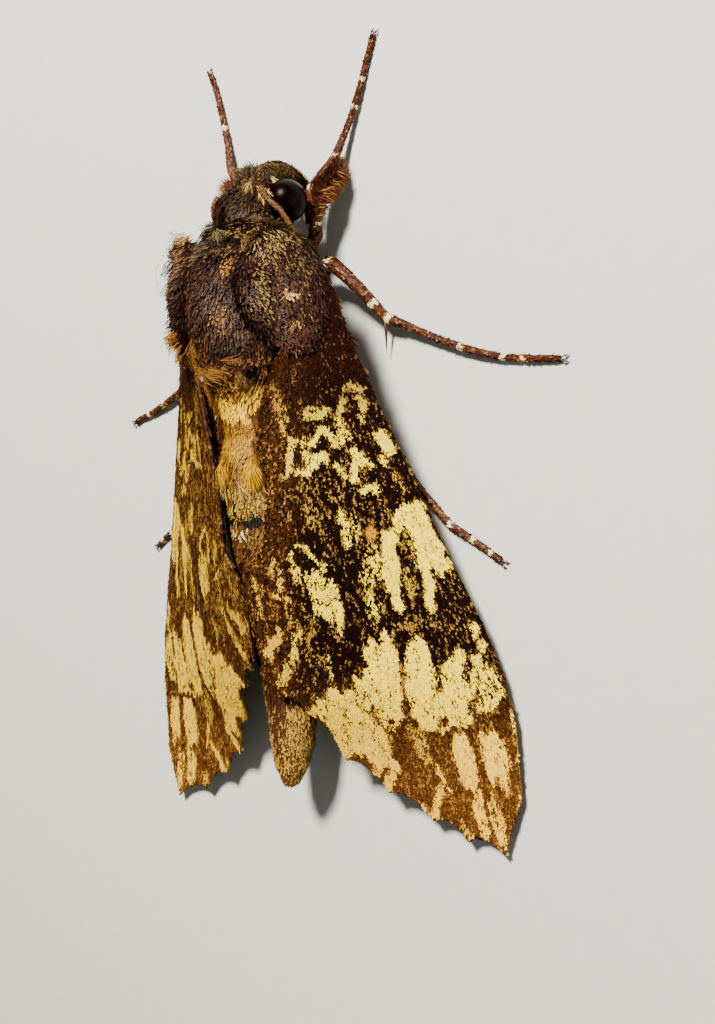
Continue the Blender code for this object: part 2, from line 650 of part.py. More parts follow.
def wing_rows(lines, first_tooth, scallop, stations):
    """The fan of lines of one wing: the points of each row, and how far each is raised as a vein."""
    shares = np.linspace(0, 1, stations) ** STATION_CROWDING
    veins = [along_path(points, shares) for name, start, points in lines]
    starts = [start for name, start, points in lines]
    rows = []
    rises = []
    for index, vein in enumerate(veins):
        begun = np.clip((shares - starts[index]) * VEIN_START_STEEPNESS, 0, 1)
        rises.append(begun * (1 - VEIN_FADE_TO_MARGIN * shares))
        rows.append(vein)
        if index == len(veins) - 1:
            rises[-1] = rises[-1] * MARGIN_BEAD_SHARE
            break
        following = veins[index + 1]
        apart = np.linalg.norm(following - vein, axis=1)
        foot = np.minimum(VEIN_WIDEST_SHARE, VEIN_HALF_WIDTH / np.maximum(apart, 1e-6))
        for across in (foot, np.full(stations, 0.5), 1 - foot):
            row = vein + (following - vein) * across[:, None]
            if index >= first_tooth:
                run = row[-1] - row[-2]
                run = run / np.linalg.norm(run)
                depth = scallop * 4 * across * (1 - across) * shares ** SCALLOP_SHARPNESS
                row = row - run * depth[:, None]
            rows.append(row)
            rises.append(np.zeros(stations))
    return np.array(rows), np.array(rises)


def wing_sheet(name, kind, rows, rises, drop):
    """A wing of even thickness with its veins raised in both faces, split alike into triangles."""
    base = np.concatenate([rows, roof_height(rows[..., 0], rows[..., 1])[..., None]], axis=-1)
    normal = roof_normal(rows[..., 0], rows[..., 1])
    top = base + normal * (VEIN_RISE * rises - drop)[..., None]
    under = base - normal * (WING_THICKNESS + VEIN_RISE_UNDER * rises + drop)[..., None]
    count, length = rows.shape[:2]
    points = np.concatenate([top.reshape(-1, 3), under.reshape(-1, 3)])
    below = count * length
    faces = []
    for row in range(count - 1):
        for place in range(length - 1):
            a = row * length + place
            b = a + 1
            c = a + length + 1
            d = a + length
            faces += [(a, b, c), (a, c, d)]
            faces += [(below + c, below + b, below + a), (below + d, below + c, below + a)]
    rim = [row * length for row in range(count)]
    rim += [(count - 1) * length + place for place in range(1, length)]
    rim += [row * length + length - 1 for row in range(count - 2, -1, -1)]
    rim += list(range(length - 2, 0, -1))
    for here, there in zip(rim, rim[1:] + rim[:1]):
        faces += [(here, there, below + there), (here, below + there, below + here)]
    return mesh_object(name, kind, points, faces)


def left_forewing_lines():
    """The lines of the left forewing, still on the right side, with their own ends."""
    lines = []
    for name, start, points in FOREWING_LINES:
        ends = LEFT_FOREWING_ENDS[name]
        lines.append((name, start, points[:len(points) - len(ends)] + ends))
    return lines


def wings():
    """The two forewings over the two hindwings."""
    rows, rises = wing_rows(FOREWING_LINES, FOREWING_FIRST_TOOTH, FOREWING_SCALLOP, FOREWING_STATIONS)
    wing_sheet("forewing_right", "wing", rows, rises, 0.0)
    rows, rises = wing_rows(left_forewing_lines(), FOREWING_FIRST_TOOTH, FOREWING_SCALLOP, FOREWING_STATIONS)
    pattern = wing_sheet("forewing_pattern", "wing", rows, rises, 0.0)
    mirrored(pattern, "forewing_left")
    bpy.data.objects.remove(pattern)
    rows, rises = wing_rows(HINDWING_LINES, HINDWING_FIRST_TOOTH, HINDWING_SCALLOP, HINDWING_STATIONS)
    hindwing = wing_sheet("hindwing_right", "hindwing", rows, rises, HINDWING_DROP)
    mirrored(hindwing, "hindwing_left")


def body_top(stations, x, y):
    """Height of a body part's upper surface, or of its middle line beyond its sides."""
    centre, z, width, height = body_ring(stations, y)
    share = min(1.0, abs(x - centre) / width)
    return z + height * math.sqrt(1 - share * share)


def shoulder_rest(x, y):
    """Lowest place for what lies over the thorax and the wing's root, clear of both."""
    return max(body_top(THORAX_STATIONS, x, y), float(roof_height(x, y))) + GAP + TEGULA_CLEARANCE


def waist_rest(x, y):
    """Lowest place for the thorax's rear locks: inside its own top, then clear of the abdomen."""
    if y > THORAX_STATIONS[0][0] + GAP:
        return body_top(THORAX_STATIONS, x, y) - LOCK_SINK
    return body_top(ABDOMEN_STATIONS, x, y) + GAP + TEGULA_CLEARANCE


def thorax():
    """The thorax with the locks at its rear that lie over the abdomen, between the wings."""
    made = body_part("thorax", "body", THORAX_STATIONS, THORAX_RINGS)
    made["kind"] = "body"
    pieces = []
    for index in range(THORAX_LOCKS):
        share = 2 * index / (THORAX_LOCKS - 1) - 1
        taper = 1 - THORAX_LOCK_TAPER * share * share
        length = THORAX_LOCK_SIZE[0] * taper * random.uniform(*THORAX_LOCK_LENGTHS)
        start = (THORAX_LOCK_SPREAD * share, THORAX_LOCK_ROOT_Y - THORAX_LOCK_STAGGER * (index % 2))
        heading = math.radians(-90 - THORAX_LOCK_FAN * share)
        size = (length, THORAX_LOCK_SIZE[1])
        pieces.append(lying_lock(start, heading, size, waist_rest, THORAX_LOCK_LIFT))
    combine(made, pieces, "UNION")


def abdomen_ring_point(y, angle, sink):
    """A point under the abdomen's surface at an angle from its top, and the way out of it there."""
    x, z, width, height = body_ring(ABDOMEN_STATIONS, y)
    out = Vector((math.sin(angle) / width, 0.0, math.cos(angle) / height)).normalized()
    point = Vector((x + width * math.sin(angle), y, z + height * math.cos(angle)))
    return point - out * sink, out


def abdomen():
    """The abdomen with its pointed tail brush, side tufts and the two yellow tufts near its base."""
    made = body_part("abdomen", "body", ABDOMEN_STATIONS, ABDOMEN_RINGS)
    made["kind"] = "body"
    pieces = []
    for index in range(ABDOMEN_TIP_LOCKS):
        angle = math.tau * (index + 0.5) / ABDOMEN_TIP_LOCKS
        y = ABDOMEN_TIP_ROOT_Y + ABDOMEN_TIP_STAGGER * (index % 2)
        root, out = abdomen_ring_point(y, angle, ABDOMEN_TIP_SINK)
        along = Vector(ABDOMEN_TIP_WAY) - out * ABDOMEN_TIP_GATHER
        pieces.append(bent_lock(root, along, out, ABDOMEN_TIP_LOCK_SIZE, ABDOMEN_TIP_RISE))
    for y in ABDOMEN_SIDE_ROWS:
        for angle in ABDOMEN_SIDE_ANGLES:
            for side in (1, -1):
                root, out = abdomen_ring_point(y, side * angle, ABDOMEN_SIDE_SINK)
                along = Vector((0.0, -1.0, 0.0))
                pieces.append(bent_lock(root, along, out, ABDOMEN_SIDE_LOCK_SIZE, ABDOMEN_SIDE_RISE))
    for x, y in YELLOW_TUFTS:
        root = Vector((x, y, body_top(ABDOMEN_STATIONS, x, y) - YELLOW_TUFT_SINK))
        out = Vector((0.0, 0.0, 1.0))
        pieces.append(bent_lock(root, YELLOW_TUFT_WAY, out, YELLOW_TUFT_SIZE, YELLOW_TUFT_RISE))
    combine(made, pieces, "UNION")


def tegula_place(share, angle):
    """A point of the lappet's outline, or inside it at a share of the way out, seen from above."""
    along = TEGULA_HALF_LENGTH * share * math.cos(angle)
    across = TEGULA_HALF_WIDTH * share * math.sin(angle)
    x = TEGULA_CENTRE[0] + across * math.cos(TEGULA_TURN) - along * math.sin(TEGULA_TURN)
    y = TEGULA_CENTRE[1] + along * math.cos(TEGULA_TURN) + across * math.sin(TEGULA_TURN)
    return x, y


def tegula():
    """The shoulder lappet that covers the wing's root, lying on the thorax and the wing."""
    top = []
    under = []
    for ring in range(1, TEGULA_RINGS + 1):
        share = ring / TEGULA_RINGS
        for spoke in range(TEGULA_SPOKES):
            angle = math.tau * spoke / TEGULA_SPOKES
            x, y = tegula_place(share, angle)
            rest = shoulder_rest(x, y)
            crown = TEGULA_THICKNESS * math.sqrt(1 - TEGULA_RIM_SHARPNESS * share * share)
            top.append((x, y, rest + TEGULA_RIM + crown))
            under.append((x, y, rest))
    x, y = TEGULA_CENTRE
    rest = shoulder_rest(x, y)
    points = top + under + [(x, y, rest + TEGULA_RIM + TEGULA_THICKNESS), (x, y, rest)]
    below = len(top)
    peak = 2 * below
    faces = []
    for spoke in range(TEGULA_SPOKES):
        following = (spoke + 1) % TEGULA_SPOKES
        faces += [(peak, spoke, following), (peak + 1, below + following, below + spoke)]
        for ring in range(TEGULA_RINGS - 1):
            a = ring * TEGULA_SPOKES + spoke
            b = ring * TEGULA_SPOKES + following
            c = b + TEGULA_SPOKES
            d = a + TEGULA_SPOKES
            faces += [(a, d, c), (a, c, b)]
            faces += [(below + a, below + c, below + d), (below + a, below + b, below + c)]
        rim = (TEGULA_RINGS - 1) * TEGULA_SPOKES
        faces += [(rim + spoke, below + rim + spoke, below + rim + following),
                  (rim + spoke, below + rim + following, rim + following)]
    right = mesh_object("tegula_right", "body", points, faces)
    right["kind"] = "body"
    combine(right, tegula_locks(), "UNION")
    mirrored(right, "tegula_left")


def tegula_locks():
    """The fringe of locks round the lappet's outer side and rear, lying back over the wing."""
    pieces = []
    for index in range(TEGULA_LOCKS):
        share = index / (TEGULA_LOCKS - 1)
        angle = math.radians(TEGULA_FRINGE_START + TEGULA_FRINGE_SWEEP * share)
        x, y = tegula_place(TEGULA_FRINGE_SHARE, angle)
        scatter = random.uniform(-TEGULA_LOCK_SCATTER, TEGULA_LOCK_SCATTER)
        heading = math.radians(TEGULA_LOCK_HEADING + TEGULA_LOCK_TURN * share + scatter)
        length = TEGULA_LOCK_SIZE[0] * random.uniform(*TEGULA_LOCK_LENGTHS)
        size = (length, TEGULA_LOCK_SIZE[1])
        pieces.append(lying_lock((x, y), heading, size, shoulder_rest, TEGULA_LOCK_LIFT))
    return pieces


def brush_locks(path, side):
    """The brush of flat locks along the outer side of a front shin."""
    pieces = []
    for index in range(BRUSH_LOCKS):
        share = BRUSH_SPAN[0] + (BRUSH_SPAN[1] - BRUSH_SPAN[0]) * index / (BRUSH_LOCKS - 1)
        here, there = along_path(path, np.array([share, share + 0.02]))
        run = Vector(there - here).normalized()
        along = run * BRUSH_LOCK_LEAN + Vector((side, 0.0, BRUSH_LOCK_WEAVE * (-1) ** index))
        pieces.append(bent_lock(Vector(here), along, Vector((0, 0, 1)), BRUSH_LOCK_SIZE, 0.0))
    return pieces


def leg(name):
    """One leg: femur, shin and foot in a tapering tube, with spurs, claws and a flat sole."""
    path = [point for point, radius in LEG_PATHS[name]]
    radii = [radius for point, radius in LEG_PATHS[name]]
    made = tube(name, "leg", path, radii, LEG_STEPS)
    made["kind"] = "leg"
    pieces = brush_locks(path, 1 if name.endswith("right") else -1) if "fore" in name else []
    for index, tip in LEG_SPURS.get(name, []):
        pieces.append(spike(path[index], tip, SPUR_RADIUS))
    end = Vector(path[-1])
    run = (end - Vector(path[-2])).normalized()
    heading = math.atan2(run.y, run.x)
    for side in (1, -1):
        angle = heading + side * CLAW_SPREAD
        tip = end + Vector((math.cos(angle), math.sin(angle), 0)) * CLAW_LENGTH
        tip.z = CLAW_RADIUS
        base = end - run * CLAW_ROOT_BACK
        base.z = CLAW_RADIUS + CLAW_ROOT_RISE
        pieces.append(spike(base, tip, CLAW_RADIUS))
    combine(made, pieces, "UNION")
    for vertex in made.data.vertices:
        vertex.co.z = max(vertex.co.z, FLOOR_FLAT)
    weld(made)


def centre_on_floor():
    """Moves every node so that the origin is at the bottom centre of the whole moth's box."""
    nodes = [made for made in bpy.data.objects if made.type == "MESH"]
    corners = np.array([tuple(vertex.co) for made in nodes for vertex in made.data.vertices])
    low = corners.min(axis=0)
    high = corners.max(axis=0)
    middle = Vector(((low[0] + high[0]) / 2, (low[1] + high[1]) / 2, low[2]))
    for made in nodes:
        made.data.transform(Matrix.Translation(-middle))


def main():
    """Builds every node of the moth."""
    random.seed(SEED)
    clear_scene()
    head_parts()
    body_part("collar", "body", COLLAR_STATIONS, COLLAR_RINGS)
    thorax()
    abdomen()
    tegula()
    wings()
    for name in LEG_PATHS:
        leg(name)
    centre_on_floor()


main()
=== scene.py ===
"""Looks of the hawk moth at rest: skin, hair, wing scales, eyes, legs, floor, light and camera.

Sizes are in millimetres in the moth's own frame: +X to its right, +Y to its head, +Z up. Pieces are
modelled in that frame at one unit a millimetre, and settle() moves each one to metres and to the
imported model's place, which is read from the right eye.
"""

import logging
import math
from dataclasses import dataclass, field
from enum import Enum

import bpy
import numpy as np
from mathutils import Matrix, Vector


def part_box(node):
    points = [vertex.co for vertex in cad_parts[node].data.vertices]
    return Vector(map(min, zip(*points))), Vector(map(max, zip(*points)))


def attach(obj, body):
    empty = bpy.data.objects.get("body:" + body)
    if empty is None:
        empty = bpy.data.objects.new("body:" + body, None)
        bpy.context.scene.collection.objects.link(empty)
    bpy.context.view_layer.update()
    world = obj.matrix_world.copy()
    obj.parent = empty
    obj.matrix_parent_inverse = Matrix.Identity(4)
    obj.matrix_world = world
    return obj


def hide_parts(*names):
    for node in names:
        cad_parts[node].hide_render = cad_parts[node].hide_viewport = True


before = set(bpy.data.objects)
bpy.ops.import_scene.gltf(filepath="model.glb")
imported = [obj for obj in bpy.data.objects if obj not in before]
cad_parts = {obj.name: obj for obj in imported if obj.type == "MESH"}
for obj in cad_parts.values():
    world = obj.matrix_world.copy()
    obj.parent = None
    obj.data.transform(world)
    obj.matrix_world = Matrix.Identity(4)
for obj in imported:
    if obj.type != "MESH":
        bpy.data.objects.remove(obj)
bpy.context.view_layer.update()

LOG = logging.getLogger("moth")
MM = 0.001
ABOVE_FLOOR = 0.004
BODY = "root"
MARKINGS = "markings"
BAKE_MAP = "OFBake"
BAKE_PATCH = 0.003
# Part of the bake map that every unwrap fills: its start and its size, as shares of the map
UNWRAP_START, UNWRAP_SIZE = 0.02, 0.96
NOISE_CELLS = 64
# Share of a path's length over which its direction is read
NEARBY = 0.01
UPWARDS = np.array([0.0, 0.0, 1.0])
EYE_CENTRE = (2.6, 23.4, 5.2)


class Side(Enum):
    """The moth's two sides, with the sign of X on each."""

    RIGHT = 1
    LEFT = -1


def anchor_shift() -> np.ndarray:
    """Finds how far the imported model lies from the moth's own frame.

    Returns:
        The shift in millimetres, to take away from a place in the moth's frame.
    """
    low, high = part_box("eye_right")
    centre = (np.array(low) + np.array(high)) / 2 / MM
    return np.array(EYE_CENTRE) - centre


SHIFT = anchor_shift()


def hex_linear(code: str) -> tuple[float, float, float, float]:
    """Turns an sRGB hex value into linear red, green, blue and alpha.

    Args:
        code: Six hex digits.
    Returns:
        Four numbers from 0 to 1.
    """
    parts = [int(code[place:place + 2], 16) / 255 for place in (0, 2, 4)]
    linear = [part / 12.92 if part <= 0.04045 else ((part + 0.055) / 1.055) ** 2.4 for part in parts]
    return (*linear, 1.0)


def tint(code: str) -> np.ndarray:
    """Gives the linear red, green and blue of a hex value as an array."""
    return np.array(hex_linear(code)[:3])


def blend(first: np.ndarray, second: np.ndarray, share: np.ndarray) -> np.ndarray:
    """Mixes two colours or arrays of colours by a share from 0 to 1.

    Args:
        first: Colour at share 0.
        second: Colour at share 1.
        share: One share for each row.
    Returns:
        One colour for each share.
    """
    share = np.asarray(share)[..., None]
    return first * (1 - share) + second * share


def eased(share: np.ndarray) -> np.ndarray:
    """Eases shares from 0 to 1 in and out."""
    return share * share * (3 - 2 * share)


def ramp(value: np.ndarray, start: float, end: float) -> np.ndarray:
    """Rises smoothly from 0 at start to 1 at end.

    Args:
        value: Where it is read.
        start: Where the rise starts.
        end: Where it ends, which may be below start.
    Returns:
        Shares from 0 to 1.
    """
    return eased(np.clip((value - start) / (end - start), 0, 1))


def smooth_through(keys: list, at: np.ndarray) -> np.ndarray:
    """Reads a smooth curve through (position, value) keys.

    Args:
        keys: The keys, in any order.
        at: Positions to read.
    Returns:
        One value for each position.
    """
    keys = sorted(keys)
    place = np.array([key[0] for key in keys], dtype=float)
    value = np.array([key[1] for key in keys], dtype=float)
    slope = np.gradient(value, place)
    at = np.clip(np.asarray(at, dtype=float), place[0], place[-1])
    left = np.clip(np.searchsorted(place, at) - 1, 0, len(place) - 2)
    span = place[left + 1] - place[left]
    t = (at - place[left]) / span
    start = (1 + 2 * t) * (1 - t) ** 2 * value[left] + t * (1 - t) ** 2 * span * slope[left]
    end = t ** 2 * (3 - 2 * t) * value[left + 1] + t ** 2 * (t - 1) * span * slope[left + 1]
    return start + end


def path_steps(points: list | np.ndarray) -> np.ndarray:
    """Gives the length of each straight piece of a path."""
    return np.linalg.norm(np.diff(np.array(points, dtype=float), axis=0), axis=1)


def path_shares(points: list) -> np.ndarray:
    """Gives the share of a path's length at each of its points."""
    step = path_steps(points)
    return np.concatenate([[0.0], np.cumsum(step)]) / step.sum()


def along_path(points: list, shares: np.ndarray) -> np.ndarray:
    """Follows a smooth path through points.

    Args:
        points: Points of two or more numbers each.
        shares: Shares of the path's length, 0 to 1.
    Returns:
        One point for each share.
    """
    run = path_shares(points)
    columns = [smooth_through(list(zip(run, column)), shares) for column in zip(*points)]
    return np.stack(columns, axis=-1)


def unit(vectors: np.ndarray) -> np.ndarray:
    """Makes each row one long."""
    return vectors / np.maximum(np.linalg.norm(vectors, axis=-1, keepdims=True), 1e-9)


def value_noise(x: np.ndarray, y: np.ndarray, seed: int) -> np.ndarray:
    """Smooth noise from 0 to 1 on a lattice of one unit.

    Args:
        x: First coordinate.
        y: Second coordinate.
        seed: Chooses the lattice.
    Returns:
        One value for each place.
    """
    lattice = np.random.default_rng(seed).random((NOISE_CELLS, NOISE_CELLS))
    left, low = np.floor(x).astype(int), np.floor(y).astype(int)
    a, b = eased(x - left), eased(y - low)
    corner = [lattice[(left + i) % NOISE_CELLS, (low + j) % NOISE_CELLS] for i in (0, 1) for j in (0, 1)]
    return (corner[0] * (1 - b) + corner[1] * b) * (1 - a) + (corner[2] * (1 - b) + corner[3] * b) * a


def on_unwrap(across: np.ndarray, onward: np.ndarray) -> np.ndarray:
    """Lays places of a skin's unwrap out on the bake map, inside its margin.

    Args:
        across: Place round the skin, 0 to 1.
        onward: Place along the skin, 0 to 1.
    Returns:
        Two numbers for each place.
    """
    return np.stack([across, onward], axis=-1) * UNWRAP_SIZE + UNWRAP_START


# Roof of the folded wings: (y, height of the ridge line), (y, x of the edge), (y, height of the edge)
ROOF_RIDGE = [(20.0, 11.3), (9.0, 11.1), (3.0, 10.6), (-3.0, 10.3), (-9.0, 8.8), (-14.0, 7.4),
              (-18.0, 5.2), (-22.0, 3.4), (-28.0, 1.6)]
ROOF_EDGE_X = [(20.0, 6.5), (12.2, 8.7), (4.5, 11.4), (-3.6, 14.3), (-11.7, 17.35), (-18.4, 18.5),
               (-28.0, 18.9)]
ROOF_EDGE_Z = [(20.0, 7.3), (12.2, 6.0), (4.5, 4.5), (-3.6, 2.9), (-11.7, 1.6), (-18.4, 1.0), (-28.0, 0.75)]
ROOF_ROUNDNESS = 1.25


def roof_height(x: np.ndarray, y: np.ndarray) -> np.ndarray:
    """Height of the folded wings' upper surface above the floor.

    Args:
        x: Distance to the right.
        y: Distance to the front.
    Returns:
        Heights.
    """
    ridge = smooth_through(ROOF_RIDGE, y)
    edge = smooth_through(ROOF_EDGE_Z, y)
    share = np.abs(x) / smooth_through(ROOF_EDGE_X, y)
    return ridge - (ridge - edge) * share ** ROOF_ROUNDNESS


def roof_normal(x: np.ndarray, y: np.ndarray) -> np.ndarray:
    """Upward unit normal of the roof surface.

    Args:
        x: Distance to the right.
        y: Distance to the front.
    Returns:
        One unit vector for each place.
    """
    step = 0.05
    slope_x = (roof_height(x + step, y) - roof_height(x - step, y)) / (2 * step)
    slope_y = (roof_height(x, y + step) - roof_height(x, y - step)) / (2 * step)
    return unit(np.stack([-slope_x, -slope_y, np.ones_like(slope_x)], axis=-1))


def settle(piece: bpy.types.Object) -> None:
    """Moves a mesh from the moth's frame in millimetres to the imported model's place in metres.

    Args:
        piece: The piece that holds it.
    """
    move = Matrix.Translation(Vector(-SHIFT * MM)) @ Matrix.Scale(MM, 4)
    piece.data.transform(move @ piece.matrix_world)
    piece.matrix_world = Matrix.Identity(4)


def place_mesh(name: str, points: np.ndarray, triangles: np.ndarray, colours: np.ndarray,
               patches: np.ndarray | None = None) -> bpy.types.Object:
    """Makes an object from arrays, with nothing of it below the floor.

    Args:
        name: Name of the piece.
        points: Points in the moth's frame, in millimetres.
        triangles: Three point numbers for each face.
        colours: Linear red, green and blue of each point.
        patches: Place of each point on the map that a bake uses.
    Returns:
        The new object, in place.
    """
    points = np.column_stack([points[:, :2], np.maximum(points[:, 2], ABOVE_FLOOR)])
    mesh = bpy.data.meshes.new(name)
    mesh.vertices.add(len(points))
    mesh.vertices.foreach_set("co", ((points - SHIFT) * MM).astype(np.float32).ravel())
    mesh.loops.add(triangles.size)
    mesh.loops.foreach_set("vertex_index", triangles.astype(np.int32).ravel())
    mesh.polygons.add(len(triangles))
    mesh.polygons.foreach_set("loop_start", np.arange(len(triangles), dtype=np.int32) * 3)
    mesh.update(calc_edges=True)
    mesh.shade_flat()
    paint(mesh, colours)
    if patches is not None:
        layer = mesh.uv_layers.new(name=BAKE_MAP)
        layer.data.foreach_set("uv", patches[triangles.ravel()].astype(np.float32).ravel())
    made = bpy.data.objects.new(name, mesh)
    bpy.context.scene.collection.objects.link(made)
    return made


def paint(mesh: bpy.types.Mesh, colours: np.ndarray) -> None:
    """Writes one linear colour a point into the attribute that the finishes read.

    Args:
        mesh: The mesh.
        colours: Linear red, green and blue of each point.
    """
    layer = mesh.attributes.new(MARKINGS, "FLOAT_COLOR", "POINT")
    whole = np.concatenate([colours, np.ones((len(colours), 1))], axis=1)
    layer.data.foreach_set("color", whole.astype(np.float32).ravel())


def read_mesh(mesh: bpy.types.Mesh) -> tuple[np.ndarray, np.ndarray, np.ndarray]:
    """Reads a settled mesh back into the moth's frame.

    Args:
        mesh: The mesh.
    Returns:
        Its points in millimetres, their normals, and its triangles.
    """
    count = len(mesh.vertices)
    points = np.zeros(count * 3, np.float32)
    mesh.vertices.foreach_get("co", points)
    normals = np.zeros(count * 3, np.float32)
    mesh.vertex_normals.foreach_get("vector", normals)
    mesh.calc_loop_triangles()
    triangles = np.zeros(len(mesh.loop_triangles) * 3, np.int32)
    mesh.loop_triangles.foreach_get("vertices", triangles)
    return points.reshape(-1, 3) / MM + SHIFT, normals.reshape(-1, 3), triangles.reshape(-1, 3)


def select_only(pieces: list) -> None:
    """Leaves only these pieces selected and the first one active.

    Args:
        pieces: The pieces, in object mode.
    """
    bpy.ops.object.select_all(action="DESELECT")
    for piece in pieces:
        piece.select_set(True)
    bpy.context.view_layer.objects.active = pieces[0]


def apply_steps(piece: bpy.types.Object) -> None:
    """Applies every modifier of a piece in order.

    Args:
        piece: The piece.
    """
    select_only([piece])
    for name in [step.name for step in piece.modifiers]:
        bpy.ops.object.modifier_apply(modifier=name)


def joined_pieces(pieces: list, name: str) -> bpy.types.Object:
    """Joins pieces into one.

    Args:
        pieces: The pieces, in object mode.
        name: Name of the whole.
    Returns:
        The whole.
    """
    select_only(pieces)
    bpy.ops.object.join()
    made = bpy.context.object
    made.name = name
    return made


def edit_all() -> None:
    """Goes into edit mode with all of the active piece selected."""
    bpy.ops.object.mode_set(mode="EDIT")
    bpy.ops.mesh.select_all(action="SELECT")


def face_outwards() -> None:
    """Turns the faces of the active piece outwards, and ends in object mode."""
    edit_all()
    bpy.ops.mesh.normals_make_consistent(inside=False)
    bpy.ops.object.mode_set(mode="OBJECT")


def dress(piece: bpy.types.Object, finish: bpy.types.Material, nodes: tuple = ()) -> None:
    """Gives a piece its finish, its slot, its body and the nodes that it stands for, and reports it.

    Args:
        piece: The finished object.
        finish: Its material.
        nodes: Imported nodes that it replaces.
    """
    piece.data.materials.clear()
    piece.data.materials.append(finish)
    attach(piece, BODY)
    if nodes:
        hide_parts(*nodes)
    LOG.info("%s, %d faces", piece.name, len(piece.data.polygons))


def place_model(piece: bpy.types.Object, finish: bpy.types.Material, nodes: tuple = (),
                colour: str = "") -> None:
    """Settles a piece that was modelled in the moth's frame, smooths it and dresses it.

    Args:
        piece: The piece.
        finish: Its material.
        nodes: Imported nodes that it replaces.
        colour: Hex value of its markings, where the finish reads them.
    """
    settle(piece)
    if colour:
        paint(piece.data, np.tile(tint(colour), (len(piece.data.vertices), 1)))
    piece.data.shade_smooth()
    dress(piece, finish, nodes)


def add_node(tree: bpy.types.NodeTree, kind: str, values: dict | None = None, links: dict | None = None,
             **settings: object) -> bpy.types.Node:
    """Adds one node with its settings, socket values and links.

    Args:
        tree: The node tree.
        kind: The node's type.
        values: Values of its sockets.
        links: Sockets of other nodes that feed its own.
        **settings: The node's options.
    Returns:
        The node.
    """
    node = tree.nodes.new(kind)
    for option, value in settings.items():
        setattr(node, option, value)
    for socket, value in (values or {}).items():
        node.inputs[socket].default_value = value
    for socket, source in (links or {}).items():
        tree.links.new(source, node.inputs[socket])
    return node


def new_material(name: str) -> tuple[bpy.types.Material, bpy.types.NodeTree, bpy.types.Node]:
    """Starts a material with one Principled shader.

    Args:
        name: The material's name.
    Returns:
        The material, its tree and its shader.
    """
    made = bpy.data.materials.new(name)
    made.use_nodes = True
    tree = made.node_tree
    return made, tree, tree.nodes["Principled BSDF"]


def texture(tree: bpy.types.NodeTree, kind: str, place: bpy.types.Node, size_mm: float,
            **values: float) -> bpy.types.Node:
    """Adds a texture that is sized in millimetres and lies in the piece's own space.

    Args:
        tree: The node tree.
        kind: The node's type.
        place: The node that gives the space.
        size_mm: Size of the texture's cells.
        **values: Values of its other sockets.
    Returns:
        The texture's node.
    """
    return add_node(tree, kind, {"Scale": 1 / (size_mm * MM), **values}, {"Vector": place.outputs["Object"]})


def mottle(tree: bpy.types.NodeTree, shader: bpy.types.Node, colours: tuple, share: bpy.types.NodeSocket,
           relief: dict, height: bpy.types.NodeSocket, invert: bool = False) -> None:
    """Mixes a shader's colour from two, and raises its surface.

    Args:
        tree: The node tree.
        shader: The shader.
        colours: Two hex values.
        share: Output that mixes them.
        relief: Strength and distance of the relief.
        height: Output that raises the surface.
        invert: Whether it lowers the surface instead.
    """
    mix = add_node(tree, "ShaderNodeMix", dict(zip("AB", map(hex_linear, colours))), {"Factor": share},
                   data_type="RGBA")
    bump = add_node(tree, "ShaderNodeBump", relief, {"Height": height}, invert=invert)
    tree.links.new(mix.outputs["Result"], shader.inputs["Base Color"])
    tree.links.new(bump.outputs["Normal"], shader.inputs["Normal"])


@dataclass(frozen=True)
class ScaleFinish:
    """Chitin scales grown over a wing or a limb: dry and matt, so that the colour of each one carries."""

    name: str
    roughness: float = 0.72
    fleck_mm: float = 0.12
    relief: float = 0.15
    gloss: float = 0.025
    change: tuple = (0.82, 1.18)
    rough_below: float = 0.08
    rough_above: float = 0.12

    def build(self) -> bpy.types.Material:
        """Makes the material, whose colour is the markings with a slight change from scale to scale.

        Returns:
            The material.
        """
        made, tree, shader = new_material(self.name)
        place = add_node(tree, "ShaderNodeTexCoord")
        marks = add_node(tree, "ShaderNodeAttribute", attribute_name=MARKINGS)
        fleck = texture(tree, "ShaderNodeTexNoise", place, self.fleck_mm, Detail=3.0)
        change = add_node(tree, "ShaderNodeMapRange", {"To Min": self.change[0], "To Max": self.change[1]},
                          {"Value": fleck.outputs["Fac"]})
        colour = add_node(tree, "ShaderNodeVectorMath", None,
                          {0: marks.outputs["Color"], 1: change.outputs["Result"]}, operation="MULTIPLY")
        rough = add_node(tree, "ShaderNodeMapRange",
                         {"To Min": self.roughness - self.rough_below,
                          "To Max": self.roughness + self.rough_above},
                         {"Value": fleck.outputs["Fac"]})
        ridges = add_node(tree, "ShaderNodeBump", {"Strength": self.relief, "Distance": 0.03 * MM},
                          {"Height": fleck.outputs["Fac"]})
        tree.links.new(colour.outputs["Vector"], shader.inputs["Base Color"])
        tree.links.new(rough.outputs["Result"], shader.inputs["Roughness"])
        tree.links.new(ridges.outputs["Normal"], shader.inputs["Normal"])
        shader.inputs["Specular IOR Level"].default_value = self.gloss
        return made


